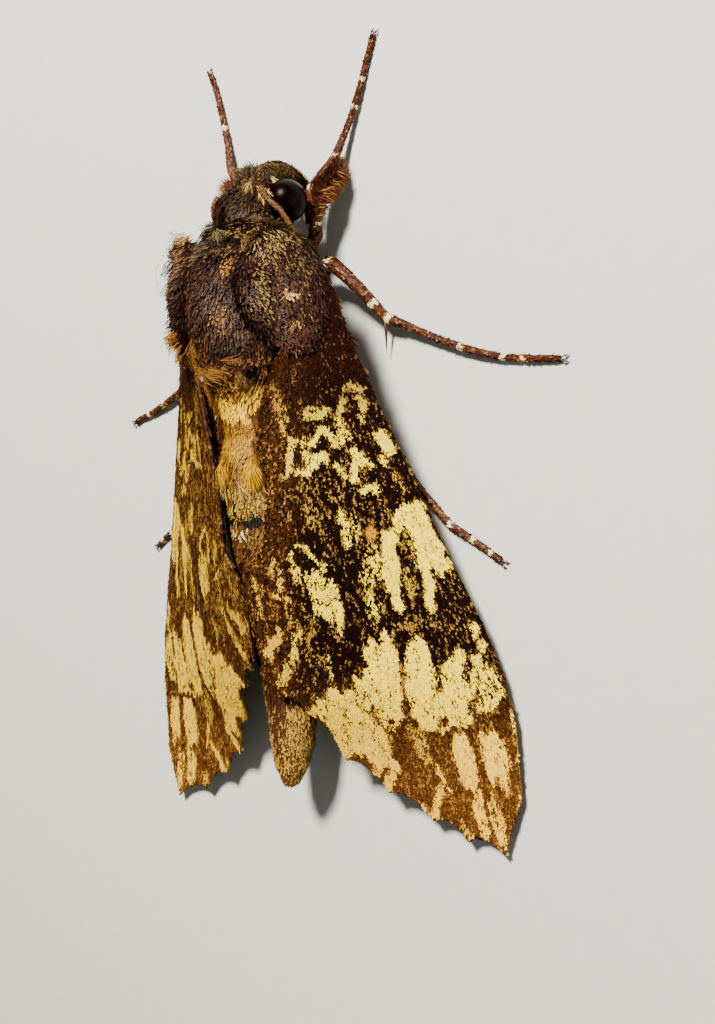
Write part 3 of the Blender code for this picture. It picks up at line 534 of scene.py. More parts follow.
@dataclass(frozen=True)
class EyeFinish:
    """Compound eye: clear chitin lenses over dark pigment, so a deep gloss over fine facets."""

    name: str = "chitin_lens_grown_in_facets"
    deep: str = "020000"
    rim: str = "0A0201"
    facet_mm: float = 0.07
    band_mm: float = 1.2
    roughness: float = 0.25
    refraction: float = 1.45
    gloss: float = 0.045

    def build(self) -> bpy.types.Material:
        """Makes the material. Real facets are about 0.03 mm wide; they are drawn coarser, to show.

        Returns:
            The material.
        """
        made, tree, shader = new_material(self.name)
        place = add_node(tree, "ShaderNodeTexCoord")
        facets = texture(tree, "ShaderNodeTexVoronoi", place, self.facet_mm, Randomness=0.3)
        bands = texture(tree, "ShaderNodeTexNoise", place, self.band_mm, Detail=2.0)
        mottle(tree, shader, (self.deep, self.rim), bands.outputs["Fac"],
               {"Strength": 0.35, "Distance": 0.02 * MM}, facets.outputs["Distance"], invert=True)
        shader.inputs["Roughness"].default_value = self.roughness
        shader.inputs["IOR"].default_value = self.refraction
        shader.inputs["Specular IOR Level"].default_value = self.gloss
        return made


@dataclass(frozen=True)
class CuticleFinish:
    """Hard tanned chitin of claws, spurs and proboscis: smooth, a little glossy, darker in streaks."""

    name: str
    light: str
    dark: str
    grain_mm: float = 0.3
    roughness: float = 0.35
    refraction: float = 1.56

    def build(self) -> bpy.types.Material:
        """Makes the material.

        Returns:
            The material.
        """
        made, tree, shader = new_material(self.name)
        place = add_node(tree, "ShaderNodeTexCoord")
        grain = texture(tree, "ShaderNodeTexNoise", place, self.grain_mm, Detail=4.0).outputs["Fac"]
        mottle(tree, shader, (self.light, self.dark), grain, {"Strength": 0.2, "Distance": 0.02 * MM}, grain)
        shader.inputs["Roughness"].default_value = self.roughness
        shader.inputs["IOR"].default_value = self.refraction
        return made


@dataclass(frozen=True)
class FloorFinish:
    """Matt painted board: pale, with the faint orange-peel that a roller leaves."""

    name: str = "matt_painted_board"
    light: str = "C9CCCB"
    dark: str = "BFC3C3"
    peel_mm: float = 1.5
    roughness: float = 0.75

    def build(self) -> bpy.types.Material:
        """Makes the material.

        Returns:
            The material.
        """
        made, tree, shader = new_material(self.name)
        place = add_node(tree, "ShaderNodeTexCoord")
        peel = texture(tree, "ShaderNodeTexNoise", place, self.peel_mm, Detail=3.0).outputs["Fac"]
        mottle(tree, shader, (self.light, self.dark), peel, {"Strength": 0.15, "Distance": 0.05 * MM}, peel)
        shader.inputs["Roughness"].default_value = self.roughness
        return made


# A hair is a three-sided prism that ends in a point, a scale a thin wedge of four corners
HAIR_FACES = np.array([(0, 5, 3), (0, 2, 5), (1, 4, 5), (1, 5, 2), (0, 3, 4), (0, 4, 1),
                       (3, 5, 6), (5, 4, 6), (4, 3, 6), (0, 1, 2)])
SCALE_FACES = np.array([(0, 1, 2), (0, 2, 3), (0, 3, 1), (1, 3, 2)])
# Spread of their directions in radians
HAIR_TURN, SCALE_TURN = 0.16, 0.2
# Spread of a hair's tip to its sides, as a share of its length, and how deep its root is sunk in mm
HAIR_SWAY, HAIR_SUNK = 0.07, 0.06
# How far the corners of a scale's root and tip lie apart in height, in mm
SCALE_TILT, SCALE_TWIST = 0.015, 0.012


@dataclass
class Blades:
    """Roots, directions, sizes and colours of many small tapered scales or hairs."""

    root: np.ndarray
    along: np.ndarray
    normal: np.ndarray
    length: np.ndarray
    width: np.ndarray
    lift: np.ndarray
    root_colour: np.ndarray
    tip_colour: np.ndarray
    spot: np.ndarray

    def kept(self, which: np.ndarray) -> "Blades":
        """Gives the blades that a mask picks."""
        return Blades(*[values[which] for values in vars(self).values()])

    def turned(self, angle: np.ndarray) -> np.ndarray:
        """Turns each direction within its surface.

        Args:
            angle: Turn of each blade in radians.
        Returns:
            The directions, at right angles to the normals.
        """
        across = np.cross(self.along, self.normal)
        turned = self.along * np.cos(angle)[:, None] + across * np.sin(angle)[:, None]
        return unit(turned - self.normal * (turned * self.normal).sum(-1, keepdims=True))

    def patch(self, sideways: list, onward: list) -> np.ndarray:
        """Lays each blade out as a small patch round its root's place on the skin's unwrap.

        Args:
            sideways: Place of each point of one blade across it, -0.5 to 0.5.
            onward: Place of each point along it, 0 to 1.
        Returns:
            Two numbers for each point.
        """
        local = np.stack([np.array(sideways), np.array(onward) - 0.5], axis=-1) * BAKE_PATCH
        return (self.spot[:, None, :] + local[None]).reshape(-1, 2)

    def hairs(self, curve: float, rng: np.random.Generator) -> tuple:
        """Shapes each blade as a closed three-sided hair that bends over to a point.

        Args:
            curve: How far the tip drops back towards the skin, as a share of the lift.
            rng: Source of the small turns.
        Returns:
            Points, triangles, colours and patches.
        """
        count = len(self.root)
        along = self.turned(rng.normal(0, HAIR_TURN, count))
        across = np.cross(along, self.normal)
        length = self.length[:, None]
        half = self.width[:, None] / 2
        lift = (self.lift * self.length)[:, None]
        middle = self.root + along * length * 0.5 + self.normal * lift * 0.8
        tip = self.root + along * length + self.normal * lift * (1.4 - curve)
        tip = tip + across * (rng.normal(0, HAIR_SWAY, count) * self.length)[:, None]
        sunk = self.root - self.normal * HAIR_SUNK
        points = np.stack([
            sunk - across * half * 0.8, sunk + across * half * 0.8, sunk + self.normal * half * 0.7,
            middle - across * half, middle + across * half, middle + self.normal * half * 0.6, tip,
        ], axis=1)
        mid_colour = self.root_colour * 0.4 + self.tip_colour * 0.6
        colours = np.stack([self.root_colour] * 3 + [mid_colour] * 3 + [self.tip_colour], axis=1)
        patches = self.patch([-0.4, 0.4, 0, -0.5, 0.5, 0, 0], [0, 0, 0, 0.5, 0.5, 0.5, 1])
        return self.joined(points, HAIR_FACES, colours, patches)

    def scales(self, rng: np.random.Generator) -> tuple:
        """Shapes each blade as a thin closed scale of four corners.

        Args:
            rng: Source of the small turns.
        Returns:
            Points, triangles, colours and patches.
        """
        count = len(self.root)
        along = self.turned(rng.normal(0, SCALE_TURN, count))
        across = np.cross(along, self.normal)
        length = self.length[:, None]
        half = self.width[:, None] / 2
        lift = self.lift[:, None]
        tip = self.root + along * length + self.normal * lift
        points = np.stack([
            self.root - across * half * 0.6, self.root + across * half * 0.6 - self.normal * SCALE_TILT,
            tip + across * half + self.normal * SCALE_TWIST, tip - across * half - self.normal * SCALE_TWIST,
        ], axis=1)
        colours = np.stack([self.root_colour] * 2 + [self.tip_colour] * 2, axis=1)
        patches = self.patch([-0.3, 0.3, 0.5, -0.5], [0, 0, 1, 1])
        return self.joined(points, SCALE_FACES, colours, patches)

    @staticmethod
    def joined(points: np.ndarray, faces: np.ndarray, colours: np.ndarray, patches: np.ndarray) -> tuple:
        """Joins the blades into one set of arrays.

        Args:
            points: Points of each blade.
            faces: Triangles of one blade.
            colours: Colour of each point.
            patches: Place of each point on the bake map.
        Returns:
            Points, triangles, colours and patches.
        """
        count, each = points.shape[:2]
        triangles = faces[None] + (np.arange(count) * each)[:, None, None]
        return points.reshape(-1, 3), triangles.reshape(-1, 3), colours.reshape(-1, 3), patches


def even_picks(weights: np.ndarray, count: int) -> np.ndarray:
    """Picks cells evenly by weight, in their own order.

    Args:
        weights: Weight of each cell.
        count: How many picks.
    Returns:
        The number of the cell of each pick.
    """
    total = np.cumsum(weights)
    return np.searchsorted(total, (np.arange(count) + 0.5) / count * total[-1])


# Marks of the right forewing seen from above: width in mm, share of cream scales, then the path's corners
FOREWING_MARKS = [
    # dark fields first
    (1.45, 0.05, (8.1, -2.6), (8.0, -6.0), (7.6, -9.5), (7.0, -12.4)),
    (1.3, 0.1, (13.6, -4.6), (13.9, -6.5), (13.8, -8.4)),
    (1.2, 0.1, (14.6, -6.5), (15.2, -7.6), (14.0, -8.8)),
    (0.8, 0.08, (12.9, -7.6), (12.6, -8.9), (13.2, -10.2)),
    (0.9, 0.22, (9.9, -7.9), (11.6, -8.2), (13.0, -8.0)),
    (1.0, 0.06, (6.2, 9.4), (6.9, 9.2), (7.4, 8.5)),
    (0.45, 0.03, (6.2, 6.95), (7.1, 6.9)),
    (0.35, 0.04, (6.6, 5.6), (6.7, 5.2)),
    (0.4, 0.06, (7.5, 7.6), (7.3, 6.6)),
    (0.8, 0.05, (9.6, 7.0), (10.1, 6.2)),
    (0.9, 0.05, (9.5, 5.2), (10.0, 4.2), (10.8, 3.2)),
    (0.6, 0.08, (7.2, 4.9), (7.9, 4.3)),
    (1.3, 0.16, (4.8, 2.2), (6.4, 2.4), (7.4, 2.0)),
    (1.3, 0.12, (8.4, 0.6), (9.6, 0.4), (10.4, -0.3)),
    (1.0, 0.08, (2.5, 10.5), (2.6, 8.0), (2.4, 5.5)),
    (0.8, 0.1, (5.2, 11.0), (5.2, 9.2), (5.3, 7.6)),
    (1.7, 0.12, (3.3, -12.0), (3.6, -12.9), (2.9, -13.8)),
    (1.2, 0.28, (4.4, -9.0), (4.7, -11.0)),
    (0.8, 0.42, (9.4, -2.2), (9.0, -4.5), (9.3, -7.2)),
    # base and middle of the wing
    (0.5, 0.95, (5.35, 13.85), (5.4, 13.35)),
    (0.6, 0.55, (3.9, 9.7), (4.1, 8.6), (4.4, 7.4)),
    (0.4, 0.6, (4.4, 7.4), (4.3, 6.2)),
    (0.6, 0.85, (4.8, 5.7), (4.6, 4.6), (4.3, 3.4)),
    (0.45, 0.75, (5.5, 5.8), (5.5, 4.9), (5.7, 4.2)),
    (0.4, 0.85, (5.0, 3.5), (5.5, 3.3), (6.0, 3.8)),
    (0.6, 0.98, (5.9, 7.5), (6.5, 7.6), (7.0, 7.85)),
    (0.25, 0.85, (6.0, 8.1), (6.4, 8.2)),
    (0.45, 0.97, (6.7, 6.6), (6.3, 6.0), (6.0, 5.3)),
    (0.45, 0.97, (6.9, 6.5), (7.3, 5.9), (7.5, 5.3)),
    (0.3, 0.95, (6.4, 6.2), (7.0, 6.1)),
    (0.45, 0.96, (6.3, 4.2), (6.6, 4.8), (6.9, 4.2)),
    (0.4, 0.9, (6.1, 4.4), (6.0, 3.8), (5.5, 3.4)),
    (0.42, 0.88, (7.9, 8.2), (7.7, 7.4), (7.9, 6.6), (7.9, 5.6)),
    (0.25, 0.7, (8.3, 6.2), (8.4, 5.6)),
    (0.45, 0.96, (8.2, 9.4), (8.5, 9.9), (8.9, 9.3), (9.1, 9.4)),
    (0.3, 0.85, (8.0, 8.9), (8.1, 8.3)),
    (0.5, 0.95, (8.9, 8.7), (9.2, 8.4), (9.2, 7.8)),
    (0.28, 0.7, (9.1, 7.4), (9.2, 6.9)),
    (0.45, 0.93, (8.5, 4.9), (8.9, 4.5), (9.1, 3.9)),
    (0.45, 0.93, (8.6, 4.2), (8.6, 3.4), (8.5, 2.8)),
    (0.35, 0.8, (7.5, 3.9), (7.7, 3.4), (7.9, 3.0)),
    (0.3, 0.8, (9.3, 4.0), (9.6, 3.5)),
    (0.38, 0.96, (9.0, 1.9), (9.4, 2.4), (9.9, 1.9)),
    (0.25, 0.8, (9.9, 2.4), (10.0, 1.9)),
    (0.7, 0.97, (10.1, 5.9), (10.5, 5.3), (10.8, 4.8)),
    (0.35, 0.7, (10.3, 4.4), (10.4, 3.7)),
    (0.4, 0.35, (10.9, 3.0), (11.5, 2.0)),
    # fine pale field below the dark middle
    (0.6, 0.7, (7.6, 0.5), (7.8, -0.6), (7.9, -1.8)),
    (0.5, 0.5, (8.4, 0.1), (8.5, -1.6)),
    (0.8, 0.3, (5.6, 0.9), (5.6, -0.2)),
    (0.4, 0.75, (4.0, -2.9), (4.5, -2.1), (5.2, -1.8)),
    (0.5, 0.75, (5.3, -2.3), (5.9, -3.0), (6.3, -3.9)),
    (0.6, 0.6, (2.9, -3.2), (3.3, -4.2), (3.1, -5.2)),
    (0.6, 0.6, (4.2, -3.3), (4.4, -4.3)),
    (1.4, 0.72, (5.5, -4.6), (5.9, -5.8), (5.9, -7.0)),
    (0.55, 0.88, (6.6, -5.0), (7.0, -6.6), (6.9, -8.3)),
    (0.35, 0.8, (2.6, -6.2), (3.3, -6.3), (3.8, -6.2)),
    (0.6, 0.4, (3.4, -7.2), (3.7, -8.4)),
    (0.4, 0.6, (5.6, -10.4), (5.7, -12.3)),
    (0.5, 0.45, (1.2, -4.6), (1.3, -6.2), (1.1, -7.8)),
    # big pale field on the costa and the streaks beside it
    (1.3, 0.97, (12.2, 0.3), (12.7, -1.1), (13.6, -3.3)),
    (1.1, 0.95, (11.8, 0.3), (12.0, -1.5), (12.6, -3.0)),
    (0.5, 0.9, (11.0, 0.0), (11.1, -1.0)),
    (1.1, 0.95, (13.3, -2.6), (13.9, -4.0)),
    (0.5, 0.35, (11.4, -1.6), (11.9, -2.6), (12.0, -3.9)),
    (1.15, 0.94, (10.6, -1.8), (10.5, -3.2), (10.6, -5.0)),
    (0.75, 0.93, (10.7, -4.8), (10.95, -6.8)),
    (0.65, 0.96, (12.5, -3.2), (12.8, -4.8), (13.0, -6.7)),
    (0.6, 0.35, (11.6, -4.0), (11.7, -6.0)),
    (0.5, 0.65, (9.6, -3.0), (9.6, -4.6)),
    (0.5, 0.55, (9.1, -5.5), (9.3, -7.6)),
    # pale outer field, edged by dark wedges
    (2.0, 0.84, (9.5, -10.4), (9.6, -13.0), (9.3, -15.2)),
    (0.7, 0.95, (9.9, -8.9), (10.2, -10.4)),
    (0.55, 0.96, (9.0, -9.4), (8.5, -10.0), (8.6, -10.8)),
    (0.5, 0.96, (10.0, -9.6), (9.5, -11.0), (9.3, -12.4)),
    (1.8, 0.86, (11.9, -9.7), (11.9, -12.5), (11.8, -15.2)),
    (0.5, 0.96, (11.7, -9.3), (12.2, -10.4), (12.1, -11.6)),
    (0.4, 0.95, (11.4, -11.6), (11.5, -14.6)),
    (1.6, 0.88, (13.4, -11.4), (13.6, -13.2), (13.0, -15.4)),
    (1.4, 0.86, (14.6, -10.8), (14.8, -12.6), (14.4, -15.2)),
    (0.4, 0.96, (13.9, -12.8), (13.6, -15.4)),
    (1.4, 0.78, (15.8, -10.9), (16.3, -12.6), (16.4, -14.0)),
    (0.35, 0.93, (15.7, -10.6), (16.1, -12.2)),
    (0.4, 0.75, (15.6, -8.4), (16.2, -9.8)),
    (0.6, 0.8, (16.7, -11.4), (17.3, -13.4)),
    (1.7, 0.86, (8.2, -12.6), (7.4, -14.2), (6.6, -15.5)),
    (2.0, 0.85, (5.8, -14.2), (5.2, -16.0), (6.2, -17.8)),
    (1.9, 0.9, (7.3, -16.2), (7.7, -17.6), (7.5, -18.7)),
    (0.5, 0.96, (6.2, -15.4), (7.6, -15.9), (8.6, -16.9)),
    (0.5, 0.93, (8.4, -17.6), (7.6, -19.2), (6.6, -20.6)),
    (0.45, 0.95, (6.4, -17.0), (5.6, -18.2), (4.6, -19.4)),
    (1.1, 0.86, (3.9, -14.9), (4.6, -16.4), (4.6, -19.2)),
    (0.5, 0.93, (2.6, -15.6), (3.6, -14.8), (4.4, -14.2)),
    (0.5, 0.55, (1.2, -13.9), (2.9, -15.4)),
    (0.7, 0.9, (2.4, -8.8), (1.7, -9.3), (1.0, -10.5)),
    (0.6, 0.8, (3.6, -9.1), (3.2, -9.9), (2.9, -10.6)),
    (0.65, 0.92, (2.4, -11.5), (2.0, -12.1), (1.4, -12.9)),
    (0.3, 0.08, (10.95, -9.0), (10.9, -11.4)),
    (0.3, 0.2, (10.9, -12.1), (10.7, -13.2)),
    (0.45, 0.08, (13.0, -9.6), (13.2, -10.9), (13.2, -11.7)),
    (0.38, 0.12, (13.25, -12.2), (13.2, -13.3)),
    (0.35, 0.12, (15.2, -10.4), (15.2, -11.9)),
    (0.5, 0.3, (15.7, -13.1), (15.3, -13.9), (15.3, -14.6)),
    (0.4, 0.4, (16.3, -12.3), (16.6, -13.2)),
    (0.35, 0.25, (7.2, -14.6), (7.9, -15.2), (8.4, -15.4)),
    (0.4, 0.4, (8.9, -15.4), (9.8, -15.7), (11.2, -16.2)),
    (0.2, 0.3, (7.8, -13.2), (7.7, -13.9)),
    (0.3, 0.3, (9.0, -16.4), (8.7, -17.3)),
    # dark band before the margin
    (0.95, 0.08, (17.4, -14.3), (16.6, -15.2), (15.4, -15.9)),
    (0.6, 0.12, (15.4, -15.8), (14.2, -16.2), (13.2, -16.7)),
    (0.45, 0.1, (12.8, -15.5), (13.2, -15.5)),
    (0.45, 0.2, (10.1, -15.4), (10.2, -15.7)),
    (0.75, 0.07, (13.0, -16.8), (12.6, -18.2), (12.8, -20.2)),
    (1.2, 0.08, (9.9, -16.8), (10.1, -17.8), (10.3, -18.8)),
    (1.1, 0.4, (11.2, -16.9), (11.4, -18.6)),
    (1.3, 0.14, (10.0, -19.6), (10.0, -21.6), (9.4, -22.4)),
    (0.7, 0.2, (11.3, -19.8), (11.0, -20.8)),
    (1.2, 0.12, (13.2, -21.4), (12.6, -22.6), (12.8, -23.6)),
    (0.8, 0.12, (14.2, -21.0), (14.0, -22.4)),
    # pale fields on the margin
    (1.5, 0.9, (14.1, -17.3), (14.3, -18.6), (14.4, -20.0)),
    (0.6, 0.97, (14.2, -17.6), (13.8, -19.4)),
    (1.35, 0.86, (16.2, -16.7), (16.3, -18.2), (16.6, -19.8)),
    (0.4, 0.96, (16.0, -16.6), (16.0, -18.2)),
    (0.5, 0.85, (17.0, -17.0), (17.3, -19.0), (17.2, -20.6)),
    (0.22, 0.12, (15.3, -17.0), (15.3, -18.8), (15.3, -20.8)),
    (0.35, 0.25, (16.5, -19.6), (16.4, -20.9)),
    (0.8, 0.8, (15.0, -21.2), (15.0, -22.4), (15.3, -24.3)),
    (0.95, 0.72, (16.1, -21.8), (16.5, -23.2), (16.7, -25.2)),
    (0.6, 0.15, (17.5, -20.5), (17.5, -22.4), (17.2, -23.6)),
    (0.4, 0.2, (15.8, -24.4), (16.2, -25.2)),
    (0.6, 0.7, (13.6, -24.0), (14.0, -24.9)),
    (0.5, 0.88, (12.1, -19.2), (12.3, -20.0), (12.7, -20.8)),
    (0.6, 0.9, (12.0, -21.0), (11.6, -22.4), (10.9, -23.8)),
    (0.4, 0.7, (10.4, -23.0), (10.3, -23.8)),
    (0.85, 0.9, (8.7, -19.4), (8.1, -20.5), (7.4, -21.6)),
    (0.5, 0.18, (3.6, -16.6), (4.0, -17.8)),
    (0.4, 0.15, (5.4, -20.2), (6.5, -20.8)),
    (0.3, 0.55, (17.6, -13.0), (18.2, -16.0), (18.3, -20.0), (17.9, -23.0)),
    (0.12, 0.08, (16.7, -10.2), (17.6, -13.6), (17.85, -17.0), (17.8, -20.5), (17.3, -23.6)),
    (0.14, 0.05, (13.9, -3.0), (15.2, -6.4), (16.2, -8.8)),
]


@dataclass
class WingMarks:
    """Where a forewing's cream scales lie, in the right wing's plan, and the colours of its scales."""

    cream: str = "FFE22C"
    warm_cream: str = "F2C034"
    tan: str = "7C4E2A"
    root_tan: str = "583824"
    root_dark: str = "120402"
    dark: str = "080201"
    brown: str = "190803"
    warm_brown: str = "40240A"
    golden_brown: str = "70461E"
    ground: float = 0.045
    soft_mm: float = 0.16
    soft_draw: float = 0.14
    # How far the marks' edges are pulled about, across and along the veins, and where they grow calm
    ragged_mm: tuple = (0.3, 0.95)
    calm_span: tuple = (3.0, -3.0)
    # Spans in y, or in x where inner, over which the colours change
    bare_root: tuple = (7.5, 10.5)
    root_span: tuple = (4.0, 11.0)
    warm_span: tuple = (-10.0, -21.0)
    inner_span: tuple = (5.8, 2.8)
    tan_shares: tuple = (0.62, 0.25)
    # Painted light: how far every scale is pushed towards warm cream and warm brown. It is 0 on the right
    # forewing; the left forewing gets it as painted light for the less direct light on its steeper face
    painted_light_warmth: float = 0.0
    orange: str = "B07E0C"
    orange_spot: tuple = (9.45, -1.2, 0.32, 0.5)

    def share(self, place: np.ndarray) -> np.ndarray:
        """Share of cream scales at places of the plan.

        Args:
            place: Places in mm.
        Returns:
            Shares from 0 to 1.
        """
        x, y = place[:, 0], place[:, 1]
        lean = x + 0.2 * y
        calm = 0.3 + 0.7 * ramp(y, *self.calm_span)
        warp_x = value_noise(lean / 0.5, y / 1.3, 1) + 0.5 * value_noise(lean / 0.2, y / 0.5, 2) - 0.75
        warp_y = value_noise(lean / 0.32, y / 1.5, 3) + 0.5 * value_noise(lean / 0.16, y / 0.6, 4) - 0.75
        moved = np.stack([x + warp_x * calm * self.ragged_mm[0],
                          y + warp_y * calm * self.ragged_mm[1]], axis=-1)
        share = self.ground + 0.16 * (value_noise(lean / 0.6, y / 2.4, 5) - 0.4)
        share = share - 0.13 * ramp(y, *self.bare_root)
        for width, cream, *path in FOREWING_MARKS:
            near = self.distance(moved, path) - width / 2
            weight = ramp(near, self.soft_mm, -self.soft_mm)
            share = share * (1 - weight) + cream * weight
        return np.clip(share, 0.0, 1.0)

    @staticmethod
    def distance(place: np.ndarray, path: list) -> np.ndarray:
        """Distance from places to a path of straight pieces.

        Args:
            place: Places in mm.
            path: Corners of the path.
        Returns:
            One distance for each place.
        """
        near = np.full(len(place), 1e9)
        for start, end in zip(path[:-1], path[1:]):
            start = np.array(start)
            run = np.array(end) - start
            t = np.clip((place - start) @ run / (run @ run), 0, 1)
            near = np.minimum(near, np.linalg.norm(place - start - t[:, None] * run, axis=1))
        return near

    def colours(self, place: np.ndarray, row: np.ndarray, along: np.ndarray,
                rng: np.random.Generator) -> np.ndarray:
        """Colour of one scale at each place: cream or dark, in streaks along the veins.

        Args:
            place: Places in mm.
            row: Place across the fan, in lines.
            along: Place from root to margin.
            rng: Source of the draw.
        Returns:
            Linear colours.
        """
        count = len(place)
        x, y = place[:, 0], place[:, 1]
        streak = np.clip((value_noise(row * 9.0, along * 70.0, 6) - 0.5) * 1.7 + 0.5, 0, 1)
        mixed = 0.65 * rng.random(count) + 0.35 * streak
        draw = np.where(mixed < 0.5, 2 * mixed ** 2, 1 - 2 * (1 - mixed) ** 2)
        share = self.share(place)
        warm = ramp(y, *self.warm_span)
        inner = ramp(x - 0.12 * y, *self.inner_span)
        root = ramp(y, *self.root_span)
        age = rng.random(count)
        # Here and below, the wing's painted light warmth tints all of its scales warm, on top of the warm
        # margin and the inner field
        glow = np.maximum(np.maximum(warm, 0.8 * inner), self.painted_light_warmth)
        pale = blend(tint(self.cream), tint(self.warm_cream), glow)
        tanned = np.maximum(0.45 * age ** 2 + 0.3 * inner, 0.85 * ramp(share, *self.tan_shares))
        pale = blend(pale, tint(self.tan), tanned)
        pale = blend(pale, tint(self.root_tan), 0.85 * root)
        glow = np.maximum(warm, self.painted_light_warmth)
        deep = blend(blend(tint(self.dark), tint(self.root_dark), root), tint(self.warm_brown), 0.55 * glow)
        mild = blend(tint(self.brown), tint(self.golden_brown), np.maximum(0.9 * glow, 0.45 * inner))
        scale = blend(deep, mild, age ** 1.6 * (1 - 0.5 * root))
        colour = blend(scale, pale, np.clip(0.5 + (share - draw) / self.soft_draw, 0, 1))
        cx, cy, rx, ry = self.orange_spot
        spot = ramp(((x - cx) / rx) ** 2 + ((y - cy) / ry) ** 2, 1.6, 0.6) * (age < 0.85)
        colour = blend(colour, tint(self.orange), spot)
        return colour * (0.88 + 0.24 * rng.random(count))[:, None]


@dataclass
class HindMarks:
    """Colours of the hidden hindwing: yellow with a dark border, as in the species."""

    yellow: str = "D9A032"
    border: str = "2A1006"
    base: str = "8A5A1E"
    border_span: tuple = (0.7, 0.78)
    base_span: tuple = (0.35, 0.1)

    def colours(self, share: np.ndarray, rng: np.random.Generator) -> np.ndarray:
        """Colour of one scale at each share of the way from root to margin.

        Args:
            share: Shares from 0 to 1.
            rng: Source of the draw.
        Returns:
            Linear colours.
        """
        draw = rng.random(len(share))
        edge = ramp(share + 0.12 * (draw - 0.5), *self.border_span)
        root = ramp(share + 0.3 * (draw - 0.5), *self.base_span)
        colour = blend(tint(self.yellow), tint(self.base), root)
        colour = blend(colour, tint(self.border), edge)
        return colour * (0.8 + 0.4 * rng.random(len(share)))[:, None]


# Veins of the right forewing, front to back: where the raised vein starts, and its path in plan
FOREWING_LINES = [
    (0.0, [(7.1, 18.2), (8.7, 12.2), (11.4, 4.5), (14.3, -3.6), (16.1, -8.0)]),
    (0.45, [(6.75, 17.4), (8.2, 12.0), (10.6, 4.8), (13.6, -3.6), (17.35, -11.7)]),
    (0.45, [(6.6, 17.0), (8.0, 11.9), (10.2, 4.6), (13.3, -4.0), (18.2, -15.6)]),
    (0.5, [(6.45, 16.6), (7.8, 11.7), (9.9, 4.3), (13.1, -5.0), (18.35, -21.4)]),
    (0.0, [(6.3, 16.2), (7.55, 11.5), (9.6, 4.0), (12.7, -5.6), (16.75, -25.95)]),
    (0.42, [(6.15, 15.8), (7.2, 11.3), (9.1, 3.7), (12.1, -6.0), (13.9, -25.4)]),
    (0.42, [(6.0, 15.4), (6.7, 11.0), (8.2, 3.2), (10.4, -6.2), (11.1, -24.1)]),
    (0.42, [(5.85, 15.0), (6.2, 10.6), (7.2, 2.6), (8.9, -6.2), (7.6, -22.2)]),
    (0.0, [(5.7, 14.6), (5.8, 10.2), (6.3, 2.2), (7.6, -5.6), (4.5, -19.7)]),
    (0.4, [(5.6, 14.3), (5.3, 10.0), (5.4, 2.0), (5.6, -4.8), (2.8, -15.7)]),
    (0.0, [(5.5, 14.0), (4.5, 9.6), (3.9, 2.2), (3.2, -3.6), (0.9, -14.3)]),
    (0.0, [(5.45, 13.7), (3.5, 9.9), (2.55, 6.0), (2.7, 0.0), (1.9, -2.6), (0.5, -4.4), (0.2, -9.0),
           (0.2, -13.4)]),
]
# New ends of the left forewing's lines, still on the right side
LEFT_FOREWING_ENDS = [
    [(11.7, 4.2), (14.8, -3.6), (16.3, -8.0)],
    [(17.5, -12.2)],
    [(18.3, -16.4)],
    [(18.6, -22.8)],
    [(17.6, -27.1)],
    [(13.6, -25.7)],
    [(10.5, -23.7)],
    [(7.8, -21.2)],
    [(5.3, -17.6)],
    [(3.0, -13.9)],
    [(1.5, -12.2)],
    [(1.6, 0.0), (1.5, -2.6), (0.35, -4.6), (0.3, -8.4), (0.7, -11.3)],
]
HINDWING_LINES = [
    (0.0, [(6.0, 11.6), (8.0, 6.0), (10.6, -1.5), (12.9, -9.0), (13.7, -13.2)]),
    (0.0, [(5.8, 11.2), (7.4, 5.6), (9.6, -2.0), (11.6, -9.5), (12.3, -15.4)]),
    (0.4, [(5.6, 10.8), (6.8, 5.2), (8.4, -2.2), (9.9, -9.5), (10.2, -16.6)]),
    (0.0, [(5.4, 10.4), (6.0, 5.0), (7.0, -2.4), (7.9, -9.0), (7.8, -15.8)]),
    (0.0, [(5.2, 10.0), (5.3, 4.6), (5.6, -2.2), (5.9, -8.0), (5.9, -13.6)]),
    (0.0, [(5.1, 9.6), (4.7, 4.4), (4.6, -2.2), (4.6, -6.5), (4.7, -11.2)]),
]


def left_forewing_lines() -> list:
    """Gives the left forewing's lines, still on the right side, with their own ends."""
    return [(start, points[:len(points) - len(ends)] + ends)
            for (start, points), ends in zip(FOREWING_LINES, LEFT_FOREWING_ENDS)]


